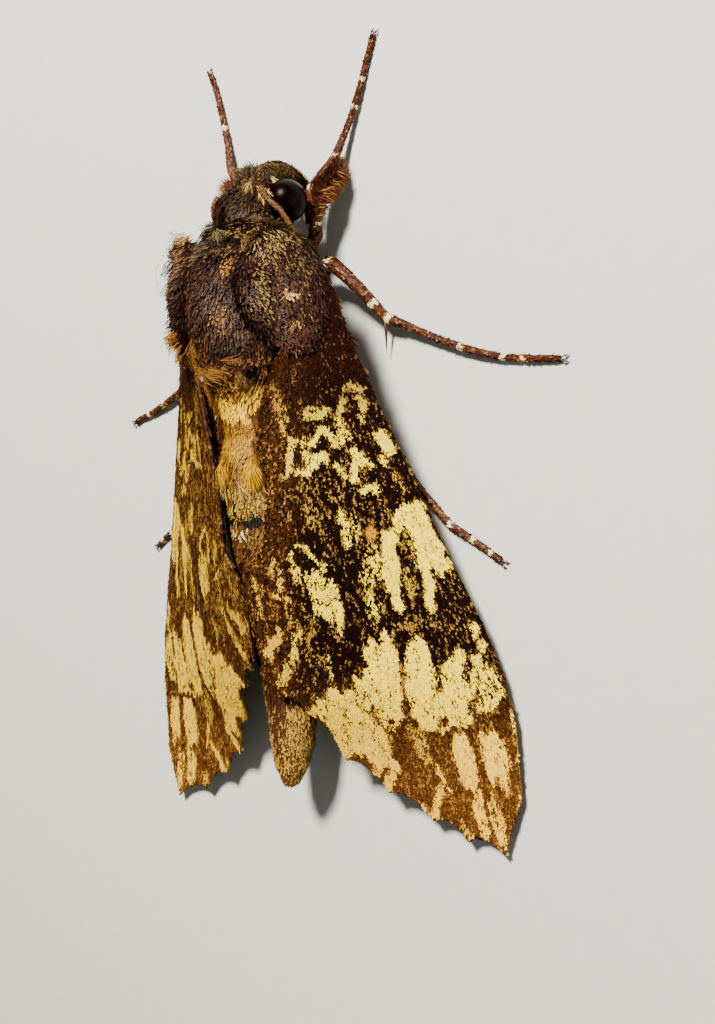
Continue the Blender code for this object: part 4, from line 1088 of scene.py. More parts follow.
@dataclass
class WingFan:
    """The veins of one wing as a fan of lines, and the surface that they carry."""

    lines: list
    first_tooth: int
    scallop: float
    drop: float
    vein_rise: float = 0.13
    vein_width: float = 0.2
    vein_fade: float = 0.125
    coat_depth: float = 0.07
    # Thickness at root and margin
    thickness: tuple = (0.34, 0.16)
    samples: int = 240
    end_samples: int = 19
    veins: np.ndarray = field(init=False)

    def __post_init__(self) -> None:
        """Samples the veins once."""
        shares = np.linspace(0, 1, self.samples + 1)
        self.veins = np.array([along_path(points, shares) for _, points in self.lines])

    def vein_point(self, line: np.ndarray, share: np.ndarray) -> np.ndarray:
        """Reads places on veins.

        Args:
            line: Number of the vein.
            share: Share of its length.
        Returns:
            Places in plan.
        """
        at = np.clip(share, 0, 1) * self.samples
        low = np.minimum(at.astype(int), self.samples - 1)
        part = (at - low)[:, None]
        return self.veins[line, low] * (1 - part) + self.veins[line, low + 1] * part

    def plan(self, row: np.ndarray, share: np.ndarray) -> tuple[np.ndarray, np.ndarray]:
        """Places of the fan seen from above, and their distance from the nearest vein.

        Args:
            row: Place across the fan, in lines.
            share: Place from root to margin.
        Returns:
            Places in plan and distances in mm.
        """
        line = np.clip(row.astype(int), 0, len(self.lines) - 2)
        across = row - line
        here = self.vein_point(line, share)
        there = self.vein_point(line + 1, share)
        place = here + (there - here) * across[:, None]
        heading = self.veins[:, -1] - self.veins[:, -1 - self.end_samples]
        ends = heading[line] * (1 - across)[:, None] + heading[line + 1] * across[:, None]
        depth = self.scallop * 4 * across * (1 - across) * share ** 6 * (line >= self.first_tooth)
        apart = np.linalg.norm(there - here, axis=1)
        return place - unit(ends) * depth[:, None], apart * np.minimum(across, 1 - across)

    def surface(self, row: np.ndarray, share: np.ndarray) -> tuple[np.ndarray, np.ndarray, np.ndarray]:
        """Upper surface of the wing's skin.

        Args:
            row: Place across the fan, in lines.
            share: Place from root to margin.
        Returns:
            Points, normals and how thick the wing is there.
        """
        place, beside = self.plan(row, share)
        x, y = place[:, 0], place[:, 1]
        normal = roof_normal(x, y)
        nearest = np.clip(np.round(row).astype(int), 0, len(self.lines) - 1)
        starts = np.array([start for start, _ in self.lines])[nearest]
        strength = np.clip((share - starts) / self.vein_fade, 0, 1) * (1 - 0.5 * share)
        rise = self.vein_rise * strength * np.exp(-(beside / self.vein_width) ** 2)
        base = np.stack([x, y, roof_height(x, y)], axis=-1)
        top = base + normal * (rise - self.drop - self.coat_depth)[:, None]
        thick = self.thickness[0] + (self.thickness[1] - self.thickness[0]) * share
        return top, normal, thick

    def direction(self, row: np.ndarray, share: np.ndarray, normal: np.ndarray) -> np.ndarray:
        """Way from root to margin within the surface.

        Args:
            row: Place across the fan, in lines.
            share: Place from root to margin.
            normal: Normals there.
        Returns:
            Unit vectors.
        """
        ahead = self.surface(row, np.minimum(share + NEARBY, 1.0))[0]
        behind = self.surface(row, np.maximum(share - NEARBY, 0.0))[0]
        along = unit(ahead - behind)
        return unit(along - normal * (along * normal).sum(-1, keepdims=True))


@dataclass
class Wing:
    """One wing: a thin skin with raised veins, its coat of overlapping scales and its fringe."""

    name: str
    side: Side
    fan: WingFan
    pattern: WingFan
    slot: str
    density: float
    under_density: float
    scale_size: tuple
    parts: int = 1
    splits: int = 6
    stations: int = 150
    # Brightness of the skin beside its scales, and of its lower face beside the upper one
    skin_shade: float = 0.7
    under_shade: float = 0.8
    under_colour: str = "8A5A28"
    under_size: float = 1.9
    # The root is shaggy: scales grow long where y + 0.4 x passes from the first to the second
    shaggy_from: float = 11.5
    shaggy_to: float = 15.0
    fringe_pitch: float = 0.09
    fringe_length: float = 0.5
    fringe_width: float = 0.13
    fringe_floor: float = 0.05
    seed: int = 1

    def grid(self, splits: int, shares: np.ndarray) -> tuple[np.ndarray, np.ndarray, np.ndarray]:
        """Lays a grid over the fan.

        Args:
            splits: Steps from one vein to the next.
            shares: Places from root to margin.
        Returns:
            The rows, and the row and the share of each place of the grid.
        """
        last = len(self.fan.lines) - 1
        rows = np.linspace(0, last, last * splits + 1)
        row, share = [grid.ravel() for grid in np.meshgrid(rows, shares, indexing="ij")]
        return rows, row, share

    def mirrored(self, points: np.ndarray, triangles: np.ndarray) -> tuple[np.ndarray, np.ndarray]:
        """Turns right-hand arrays to the wing's own side.

        Args:
            points: Points on the right.
            triangles: Their triangles.
        Returns:
            Points and triangles with faces outwards.
        """
        if self.side is Side.RIGHT:
            return points, triangles
        return points * np.array([-1.0, 1.0, 1.0]), triangles[:, ::-1]

    def skin(self, finish: bpy.types.Material, marks: object) -> None:
        """Builds the wing's skin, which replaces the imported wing.

        Args:
            finish: Its material.
            marks: Gives the colours.
        """
        rng = np.random.default_rng(self.seed)
        shares = np.linspace(0, 1, self.stations) ** 0.9
        rows, row, share = self.grid(self.splits, shares)
        top, normal, thick = self.fan.surface(row, share)
        under = top - normal * thick[:, None]
        count, length = len(rows), len(shares)
        number = np.arange(count * length).reshape(count, length)
        a, b, c, d = number[:-1, :-1], number[:-1, 1:], number[1:, 1:], number[1:, :-1]
        upper = np.concatenate([np.stack([a, b, c], -1).reshape(-1, 3),
                                np.stack([a, c, d], -1).reshape(-1, 3)])
        below = upper[:, ::-1] + count * length
        rim = np.concatenate([number[:-1, 0], number[-1, :-1], number[1:, -1][::-1], number[0, 1:][::-1]])
        following = np.roll(rim, -1)
        walls = np.concatenate([np.stack([rim, following, following + count * length], -1),
                                np.stack([rim, following + count * length, rim + count * length], -1)])
        triangles = np.concatenate([upper, below, walls])[:, ::-1]
        corner = top[triangles[0]]
        if np.cross(corner[1] - corner[0], corner[2] - corner[0]) @ normal[0] < 0:
            triangles = triangles[:, ::-1]
        colours = self.scale_colours(row, share, marks, rng) * self.skin_shade
        points, triangles = self.mirrored(np.concatenate([top, under]), triangles)
        made = place_mesh(self.name + "_skin", points, triangles,
                          np.concatenate([colours, colours * self.under_shade]))
        made.data.shade_smooth()
        dress(made, finish, (self.name,))

    def scale_colours(self, row: np.ndarray, share: np.ndarray, marks: object,
                      rng: np.random.Generator) -> np.ndarray:
        """Colours of the scales at places of the fan.

        Args:
            row: Place across the fan.
            share: Place from root to margin.
            marks: Gives the colours.
            rng: Source of the draw.
        Returns:
            Linear colours.
        """
        if isinstance(marks, HindMarks):
            return marks.colours(share, rng)
        return marks.colours(self.pattern.plan(row, share)[0], row, share, rng)

    def picked(self, density: float, rng: np.random.Generator) -> tuple[np.ndarray, np.ndarray]:
        """Picks places all over the wing, so many to a square millimetre.

        Args:
            density: Places a square millimetre.
            rng: Source of the places.
        Returns:
            Rows and shares.
        """
        shares = np.linspace(0, 0.99, 90)
        rows, row, share = self.grid(5, shares)
        point = self.fan.surface(row, share)[0].reshape(len(rows), len(shares), 3)
        side_a = point[1:, :-1] - point[:-1, :-1]
        side_b = point[:-1, 1:] - point[:-1, :-1]
        area = np.linalg.norm(np.cross(side_a, side_b), axis=-1)
        pick = even_picks(area.ravel(), int(area.sum() * density))
        i, j = np.unravel_index(pick, area.shape)
        row = rows[i] + rng.random(len(pick)) * (rows[1] - rows[0])
        share = shares[j] + rng.random(len(pick)) * (shares[1] - shares[0])
        return np.minimum(row, len(self.fan.lines) - 1.0001), share

    def coat(self, finish: bpy.types.Material, marks: object, under: bool) -> None:
        """Builds the coat of scales on one face of the wing, longer and hairier at the root.

        Args:
            finish: Its material.
            marks: Gives the colours.
            under: Whether it is the lower face.
        """
        rng = np.random.default_rng(self.seed + (50 if under else 7))
        row, share = self.picked(self.under_density if under else self.density, rng)
        top, normal, thick = self.fan.surface(row, share)
        along = self.fan.direction(row, share, normal)
        count = len(row)
        colours = self.scale_colours(row, share, marks, rng)
        if under:
            top = top - normal * thick[:, None]
            normal = -normal
            colours = colours * 0.55 + tint(self.under_colour) * 0.45
        length, width = self.scale_size
        size = rng.uniform(0.8, 1.25, count) * (self.under_size if under else 1.0)
        shaggy = ramp(top[:, 1] + 0.4 * top[:, 0], self.shaggy_from, self.shaggy_to)
        blades = Blades(
            root=top + normal * 0.012, along=along, normal=normal,
            length=length * size * (1 + 1.1 * shaggy), width=width * size * rng.uniform(0.85, 1.2, count),
            lift=rng.uniform(0.03, 0.075, count) * (1 + 2.0 * shaggy), root_colour=colours * 0.8,
            tip_colour=colours * (1 + 0.5 * shaggy[:, None]),
            spot=on_unwrap(row / (len(self.fan.lines) - 1), share),
        )
        whole = blades.scales(rng)
        label = "_under_scales" if under else "_scales"
        for part, scales in enumerate(np.array_split(np.arange(count), 1 if under else self.parts)):
            # A scale has as many triangles as corners
            first, last = scales[[0, -1]] * 4 + (0, 4)
            points, triangles, colours, patches = [array[first:last] for array in whole]
            points, triangles = self.mirrored(points, triangles - first)
            made = place_mesh(f"{self.name}{label}_{part}", points, triangles, colours, patches)
            dress(made, finish)

    def fringe(self, finish: bpy.types.Material, marks: object) -> None:
        """Builds the fringe of longer scales along the margin, pale at the teeth and dark between.

        Args:
            finish: Its material.
            marks: Gives the colours.
        """
        rng = np.random.default_rng(self.seed + 90)
        last = len(self.fan.lines) - 1
        row = np.linspace(0.0, last - 0.001, 400)
        edge = self.fan.plan(row, np.ones(400))[0]
        run = np.concatenate([[0], np.cumsum(path_steps(edge))])
        count = int(run[-1] / self.fringe_pitch) * 3
        row = np.interp(rng.random(count) * run[-1], run, row)
        share = rng.uniform(0.962, 0.99, count)
        top, normal, thick = self.fan.surface(row, share)
        along = self.fan.direction(row, share, normal)
        colours = self.scale_colours(row, np.full(count, 0.97), marks, rng)
        if isinstance(marks, WingMarks):
            between = ramp(np.abs(row - np.round(row)), 0.16, 0.3)[:, None]
            colours = colours * (1 - 0.75 * between) + tint(marks.brown) * 0.75 * between
        blades = Blades(
            root=top - normal * (thick * rng.random(count))[:, None], along=along, normal=normal,
            length=self.fringe_length * rng.uniform(0.7, 1.3, count),
            width=np.full(count, self.fringe_width), lift=rng.uniform(-0.05, 0.06, count),
            root_colour=colours * 0.85, tip_colour=colours, spot=on_unwrap(row / last, share),
        )
        points, triangles, colours, patches = blades.hairs(0.4, rng)
        points, triangles = self.mirrored(points, triangles)
        points[:, 2] = np.maximum(points[:, 2], self.fringe_floor)
        dress(place_mesh(self.name + "_fringe", points, triangles, colours, patches), finish)


# Rings of the body's parts: y, centre x, centre z, half width, half height
HEAD_STATIONS = [(21.45, 0.0, 5.5, 2.3, 2.2), (22.4, 0.0, 5.4, 2.8, 2.5), (23.6, 0.0, 5.25, 2.9, 2.5),
                 (24.6, 0.0, 5.05, 2.4, 2.15), (25.4, 0.0, 4.9, 1.5, 1.5)]
COLLAR_STATIONS = [(19.3, 0.0, 6.65, 4.3, 4.4), (20.2, 0.0, 6.4, 4.1, 4.1), (21.15, 0.0, 5.9, 3.0, 3.1)]
THORAX_STATIONS = [(6.9, 0.0, 6.1, 3.2, 3.2), (8.2, 0.0, 6.2, 3.55, 3.45), (10.0, 0.0, 6.4, 3.95, 3.85),
                   (13.0, 0.0, 6.85, 4.65, 4.7), (16.0, 0.0, 7.0, 4.95, 5.0), (18.0, 0.0, 6.9, 4.8, 4.8),
                   (19.0, 0.0, 6.75, 4.35, 4.45)]
ABDOMEN_STATIONS = [(6.6, 0.0, 6.0, 3.2, 3.2), (4.5, 0.0, 5.95, 3.85, 3.65), (0.0, 0.0, 5.8, 3.9, 3.7),
                    (-5.0, 0.0, 5.4, 3.6, 3.3), (-10.0, 0.0, 4.95, 3.1, 2.7), (-13.0, -0.05, 4.7, 2.65, 2.2),
                    (-16.0, -0.1, 4.55, 2.15, 1.85), (-19.0, -0.3, 4.45, 1.8, 1.55),
                    (-20.6, -0.55, 4.4, 1.4, 1.25), (-21.3, -0.7, 4.38, 0.85, 0.8)]
PALP_PATH = [(1.4, 23.8, 1.95), (1.45, 24.9, 2.15), (1.4, 25.7, 3.3), (1.25, 25.95, 4.6), (1.1, 25.8, 5.9)]
PALP_RADII = [0.4, 0.55, 0.6, 0.5, 0.3]


def ring_at(stations: list, y: np.ndarray) -> tuple:
    """Centre x, centre z, half width and half height of a body part at each y.

    Args:
        stations: Rings of the part.
        y: Where it is read.
    Returns:
        Four arrays.
    """
    return tuple(smooth_through([(row[0], row[column]) for row in stations], y) for column in (1, 2, 3, 4))


def body_top(stations: list, x: np.ndarray, y: np.ndarray) -> np.ndarray:
    """Height of a body part's upper surface, or of its middle beyond its sides.

    Args:
        stations: Rings of the part.
        x: Distance to the right.
        y: Distance to the front.
    Returns:
        Heights.
    """
    centre, z, width, height = ring_at(stations, y)
    share = np.minimum(1.0, np.abs(x - centre) / width)
    return z + height * np.sqrt(1 - share * share)


@dataclass
class Coat:
    """What one band across the body wears: colours at hair root and tip, and the hair's size."""

    y: float
    root: str
    tip: str
    pale: float
    length: float
    width: float
    lift: float


@dataclass
class BodyPatch:
    """A mark on the body: its place, its reach, its colours and how its hair stands."""

    centre: tuple
    reach: tuple
    root: str
    tip: str
    share: float
    length: float = 1.0
    lift: float = 0.0


@dataclass
class Tuft:
    """A tuft that stands out: where its roots and tips lie, how they spread, and its colours."""

    start: tuple
    end: tuple
    spread: float
    fan: float
    count: int
    root: str
    tip: str
    rise: float = 0.3


# Bands of the coat from head to tail
BODY_BANDS = [Coat(*row) for row in [
    (27.0, "291103", "715D36", 0.50, 0.4, 0.08, 0.40),
    (25.2, "291103", "685532", 0.46, 0.55, 0.085, 0.38),
    (24.0, "1F0902", "46351C", 0.34, 0.7, 0.085, 0.34),
    (22.6, "190601", "392814", 0.30, 0.8, 0.09, 0.30),
    (21.4, "1D0802", "896F40", 0.40, 0.95, 0.095, 0.28),
    (19.8, "1B0602", "664F2B", 0.34, 1.0, 0.1, 0.26),
    (18.2, "1A0501", "442F17", 0.30, 1.0, 0.1, 0.26),
    (14.5, "1C0601", "402B15", 0.28, 1.05, 0.1, 0.28),
    (12.6, "210802", "583D1B", 0.36, 1.1, 0.1, 0.30),
    (11.0, "341806", "906730", 0.55, 1.2, 0.1, 0.30),
    (9.4, "4A280C", "A27529", 0.66, 1.1, 0.1, 0.26),
    (8.9, "936219", "F3C929", 0.90, 1.0, 0.1, 0.22),
    (7.5, "936219", "F1C828", 0.88, 1.0, 0.1, 0.20),
    (6.9, "56310C", "896411", 0.62, 0.95, 0.1, 0.20),
    (5.4, "764A12", "9E7A13", 0.75, 0.95, 0.1, 0.20),
    (3.0, "522E0C", "7E6011", 0.60, 0.95, 0.1, 0.20),
    (1.0, "583710", "A18729", 0.62, 0.95, 0.1, 0.18),
    (-1.2, "422409", "7E641A", 0.50, 0.9, 0.1, 0.18),
    # The next two bands paint the abdomen dark brown where it shows between the folded wings. This is partly
    # its own colour and partly painted shade for the narrow gap where the wings nearly meet
    (-3.0, "280F05", "67421A", 0.36, 0.9, 0.1, 0.16),
    (-11.0, "30160A", "69491F", 0.42, 0.8, 0.1, 0.16),
    (-15.5, "42250C", "AA8734", 0.66, 0.8, 0.1, 0.18),
    (-22.5, "42230A", "A4812F", 0.66, 0.7, 0.1, 0.20),
]]
# Marks on the coat: a later one covers an earlier one
BODY_PATCHES = [BodyPatch(*row) for row in [
    # The first patch paints the right palp paler than the left: painted light on a palp that lies in shade
    ((1.2, 25.8, 4.6), (1.0, 1.0, 2.4), "32200E", "9C8254", 0.5),
    ((3.6, 20.6, 9.6), (2.2, 0.75, 2.4), "2A1A0A", "947E49", 0.5),
    ((5.6, 20.6, 8.8), (1.0, 1.2, 1.6), "2A1C0C", "776337", 0.5, 0.9),
    ((6.6, 18.4, 8.8), (0.9, 1.9, 1.6), "24150A", "5C4B2B", 0.45, 0.8),
    ((6.0, 15.6, 9.2), (1.6, 3.4, 1.8), "1C0703", "381B09", 0.75, 0.7),
    ((6.0, 15.6, 9.2), (1.6, 3.4, 1.8), "2E1408", "816538", 0.16, 0.7),
    ((6.0, 12.4, 8.9), (1.9, 1.9, 2.0), "1C0703", "3B1D07", 0.8, 0.8),
    ((4.4, 16.4, 10.6), (0.4, 2.4, 1.4), "3A220E", "7A6136", 0.5, 0.9, 0.08),
    ((4.9, 19.1, 10.0), (0.8, 0.8, 1.2), "3A220E", "785F35", 0.5),
    ((6.3, 17.0, 9.2), (0.75, 0.55, 0.8), "120502", "210B04", 0.85, 0.7),
    ((6.2, 17.6, 9.1), (0.85, 0.18, 0.8), "5A3418", "997A4E", 0.75, 0.6),
    ((5.9, 15.8, 9.6), (0.4, 0.36, 1.6), "9A7040", "D9B17A", 1.0, 0.6, 0.12),
    ((6.9, 15.2, 9.0), (0.6, 0.35, 0.7), "5A3418", "89683F", 0.7, 0.6),
    ((6.0, 14.4, 9.4), (0.5, 0.4, 0.7), "100402", "190702", 0.9, 0.7),
    ((6.1, 13.5, 9.2), (0.4, 0.36, 1.6), "9A7040", "D6AE6B", 1.0, 0.5, 0.12),
    ((-0.9, 20.5, 10.2), (1.1, 0.5, 1.4), "0C0402", "130602", 0.95, 0.8),
    ((0.9, 20.1, 10.5), (1.3, 0.35, 1.4), "0C0402", "130602", 0.95, 0.8),
    ((2.8, 20.0, 10.6), (1.4, 0.28, 1.4), "100502", "160702", 0.9, 0.8),
    ((3.5, 19.3, 10.8), (0.7, 0.55, 1.2), "4A3014", "A18A52", 0.6, 0.8, 0.1),
    ((1.55, 18.05, 11.3), (0.45, 0.8, 1.0), "4A2A10", "865C22", 0.7, 0.8, 0.1),
    ((1.3, 14.6, 11.4), (0.9, 1.0, 1.0), "3A1E0A", "7A5724", 0.4),
    ((-4.9, 18.6, 9.9), (2.0, 2.6, 2.0), "2A0F06", "684024", 0.4),
    ((1.0, 12.5, 11.0), (1.5, 0.75, 1.2), "100502", "190802", 0.88, 0.9),
    ((2.35, 10.3, 9.9), (0.6, 1.2, 1.2), "080201", "0E0401", 0.95, 0.7),
    ((-0.65, 1.2, 9.5), (0.14, 2.4, 1.0), "0C0402", "1B0A03", 0.92, 0.8),
    ((-1.4, -0.5, 9.5), (0.8, 0.6, 1.6), "060201", "0E0401", 0.97, 0.7),
    ((0.3, -0.6, 9.4), (0.8, 0.6, 1.6), "060201", "0E0401", 0.97, 0.7),
    ((1.3, -0.4, 9.3), (0.5, 0.6, 1.6), "060201", "0E0401", 0.97, 0.7),
    ((-1.4, -1.6, 9.3), (0.65, 0.5, 1.6), "8A6A3C", "E3D598", 0.75, 0.7),
    ((-0.1, -1.7, 9.3), (0.7, 0.5, 1.6), "8A6A3C", "E3D598", 0.75, 0.7),
    ((-0.1, -14.2, 6.4), (2.0, 1.4, 2.2), "200B04", "381B09", 0.92, 0.8),
    ((-0.5, -16.6, 6.3), (1.3, 1.6, 2.0), "200B04", "3C1E0A", 0.9, 0.8),
    ((-0.6, -18.6, 5.9), (0.6, 1.2, 1.6), "2A1206", "482610", 0.85, 0.8),
    ((-0.8, -21.2, 5.2), (0.6, 0.9, 1.6), "3A1E0A", "623C13", 0.75, 0.8),
    # Painted shade: the right side of the abdomen's tip is painted darker brown
    ((1.2, -20.6, 5.2), (0.35, 1.0, 1.6), "4A280C", "6A4214", 0.75, 0.8),
]]
# Tufts that stand out, from head to tail
BODY_TUFTS = [Tuft(*row) for row in [
    ((1.45, 24.45, 6.9), (2.55, 23.35, 7.35), 0.25, 0.3, 70, "8A6228", "EAD379"),
    ((2.2, 24.3, 6.8), (3.55, 24.6, 6.45), 0.16, 0.25, 40, "8A6228", "E3CC75", 0.25),
    ((0.75, 24.9, 6.95), (0.95, 23.8, 7.65), 0.3, 0.3, 36, "4A3018", "A58749", 0.4),
    ((1.9, 25.3, 5.9), (2.6, 25.2, 6.0), 0.2, 0.25, 26, "5A4426", "C9B979"),
    ((3.0, 25.1, 5.3), (3.75, 25.1, 5.2), 0.12, 0.15, 16, "6A5430", "E3DDAC", 0.2),
    ((-0.9, 25.1, 6.1), (-1.3, 26.3, 6.2), 0.7, 0.5, 190, "2A1608", "5D4C29"),
    ((0.1, 25.2, 6.2), (0.1, 26.4, 6.6), 0.7, 0.5, 190, "2A1608", "5D4C29"),
    ((1.3, 25.2, 6.0), (1.6, 26.3, 6.3), 0.6, 0.5, 150, "2A1608", "5D4C29"),
    ((-1.7, 24.6, 6.7), (-2.7, 25.1, 6.7), 0.5, 0.4, 110, "2A1206", "48361B"),
    ((-1.9, 23.9, 6.9), (-3.1, 23.6, 6.9), 0.5, 0.4, 150, "24100A", "3F2C16"),
    ((-2.0, 23.1, 7.0), (-3.3, 22.5, 6.9), 0.55, 0.4, 170, "24100A", "3F2C16"),
    ((-2.1, 22.3, 7.0), (-3.6, 21.5, 7.0), 0.55, 0.4, 170, "24100A", "453219"),
    ((-2.5, 21.5, 7.3), (-4.1, 20.7, 7.6), 0.55, 0.4, 150, "24100A", "513D1F"),
    ((-1.9, 23.5, 7.5), (-3.3, 22.8, 8.0), 0.5, 0.4, 150, "24100A", "3A2612"),
    ((-2.2, 22.7, 7.6), (-3.8, 21.8, 8.1), 0.5, 0.4, 150, "24100A", "3A2612"),
    ((-2.6, 21.9, 7.7), (-4.2, 21.0, 8.2), 0.5, 0.4, 150, "24100A", "3E2C16"),
    ((-2.9, 22.4, 6.9), (-4.1, 21.4, 7.4), 0.5, 0.4, 150, "24100A", "3E2C16"),
    ((-3.2, 21.5, 7.5), (-4.7, 20.5, 8.1), 0.5, 0.4, 150, "24100A", "4A3418"),
    ((-2.6, 23.0, 6.4), (-3.6, 22.2, 6.6), 0.4, 0.3, 90, "24100A", "3A2612"),
    ((-0.5, 21.3, 9.6), (0.9, 20.2, 10.75), 0.28, 0.25, 44, "2E2814", "645C32", 0.5),
    ((5.9, 16.3, 9.4), (5.9, 15.7, 10.0), 0.2, 0.14, 50, "8A6034", "B98E54", 0.05),
    ((6.05, 14.0, 9.1), (6.1, 13.4, 9.6), 0.2, 0.14, 50, "8A6034", "B98E54", 0.05),
    ((3.0, 20.2, 10.2), (3.9, 18.9, 11.0), 0.35, 0.4, 44, "3A2410", "83693C", 0.4),
    ((-3.7, 21.2, 9.5), (-3.8, 21.85, 9.9), 0.3, 0.3, 60, "6A4420", "DFC06E"),
    ((-4.5, 21.2, 9.3), (-4.8, 21.85, 9.7), 0.3, 0.3, 60, "6A4420", "DFC06E"),
    ((-4.6, 20.9, 9.2), (-5.6, 21.2, 9.4), 0.6, 0.4, 170, "2A0E05", "492611", 0.4),
    ((-5.5, 20.2, 8.9), (-6.7, 20.3, 9.2), 0.8, 0.5, 300, "2A0E05", "44240D", 0.4),
    ((-5.6, 19.0, 8.9), (-6.8, 18.6, 9.2), 0.8, 0.5, 280, "260C04", "3E200B", 0.4),
    ((-5.8, 17.6, 8.9), (-6.8, 16.7, 9.1), 0.8, 0.5, 200, "260C04", "3E200B", 0.4),
    ((-4.9, 15.0, 9.5), (-6.3, 14.3, 9.9), 0.7, 0.5, 180, "1C0803", "2D1306", 0.5),
    ((-4.9, 14.0, 9.3), (-6.8, 12.9, 9.4), 0.7, 0.6, 320, "6A3C14", "B4883A", 0.5),
    ((-4.6, 13.1, 9.1), (-5.8, 11.7, 9.3), 0.7, 0.6, 220, "6A3C14", "B4883A", 0.4),
    ((-3.4, 12.6, 9.6), (-3.0, 11.0, 10.2), 0.6, 0.5, 130, "4A260C", "986D2B", 0.5),
    ((-2.0, 13.4, 10.6), (-2.6, 11.6, 10.8), 0.5, 0.4, 100, "542E10", "A27630", 0.5),
    ((-2.6, 11.8, 9.9), (-0.8, 10.4, 10.3), 0.5, 0.4, 130, "542E10", "A27632", 0.5),
    ((-1.2, 11.4, 10.4), (0.8, 10.6, 10.4), 0.5, 0.4, 130, "542E10", "986B2D", 0.5),
    ((0.6, 11.9, 10.6), (2.1, 11.6, 10.3), 0.45, 0.35, 90, "3A1A08", "815726", 0.5),
    ((1.4, 11.0, 10.2), (1.6, 9.2, 9.8), 0.4, 0.4, 70, "3A200C", "81622D", 0.4),
    ((-3.2, 10.2, 8.7), (-3.8, 8.3, 8.7), 0.6, 0.5, 170, "6A3E12", "BB8D36"),
    ((-3.0, 9.0, 8.5), (-3.8, 7.2, 8.4), 0.6, 0.5, 170, "8A5A1C", "CCA23D"),
    ((-2.8, 7.6, 8.3), (-3.9, 5.8, 8.3), 0.6, 0.5, 180, "4A280C", "916626"),
    ((-2.8, 6.6, 8.2), (-4.1, 4.7, 8.3), 0.6, 0.5, 200, "3A1C08", "7A521D"),
    ((-2.7, 5.4, 8.3), (-3.7, 3.4, 8.6), 0.6, 0.5, 180, "3A1C08", "7A521D"),
    ((-3.3, 8.8, 7.6), (-4.3, 7.0, 7.3), 0.5, 0.4, 200, "1E0E06", "342010", 0.2),
    ((-3.4, 7.4, 7.6), (-4.4, 5.6, 7.3), 0.5, 0.4, 200, "1E0E06", "342010", 0.2),
    ((-3.4, 6.0, 7.6), (-4.4, 4.2, 7.3), 0.5, 0.4, 200, "1E0E06", "342010", 0.2),
    ((-2.4, 4.4, 8.6), (-2.9, 2.5, 9.0), 0.5, 0.4, 130, "44240C", "916628"),
    ((1.9, 7.4, 9.2), (2.5, 5.6, 9.3), 0.5, 0.4, 90, "3A1E0A", "7A5623"),
    ((1.7, 5.4, 9.0), (2.3, 3.6, 9.3), 0.5, 0.4, 90, "44240C", "916628"),
    ((-1.75, 4.5, 9.2), (-1.5, 2.2, 9.9), 0.14, 0.1, 150, "8A6000", "C89A00"),
    ((1.25, 4.6, 9.2), (1.6, 1.9, 9.6), 0.14, 0.1, 150, "8A6000", "C89A00"),
    ((-1.3, 2.5, 9.4), (-1.5, 1.1, 9.6), 0.3, 0.3, 60, "6A4218", "D2B25B"),
    ((0.2, 2.6, 9.4), (0.7, 1.2, 9.6), 0.35, 0.35, 80, "6A4218", "D2B25B"),
]]
# Pieces of the coat: name, lowest and highest y, number of hairs, slot
COAT_PIECES = [
    ("head_hair", (21.2, 30.0), 17000, "body_hair"),
    ("collar_hair", (16.5, 21.2), 19000, "body_hair"),
    ("thorax_hair", (8.6, 16.5), 19000, "body_hair"),
    ("abdomen_hair", (-3.0, 8.6), 15000, "abdomen_hair"),
    ("tail_hair", (-26.0, -3.0), 13000, "abdomen_hair"),
]


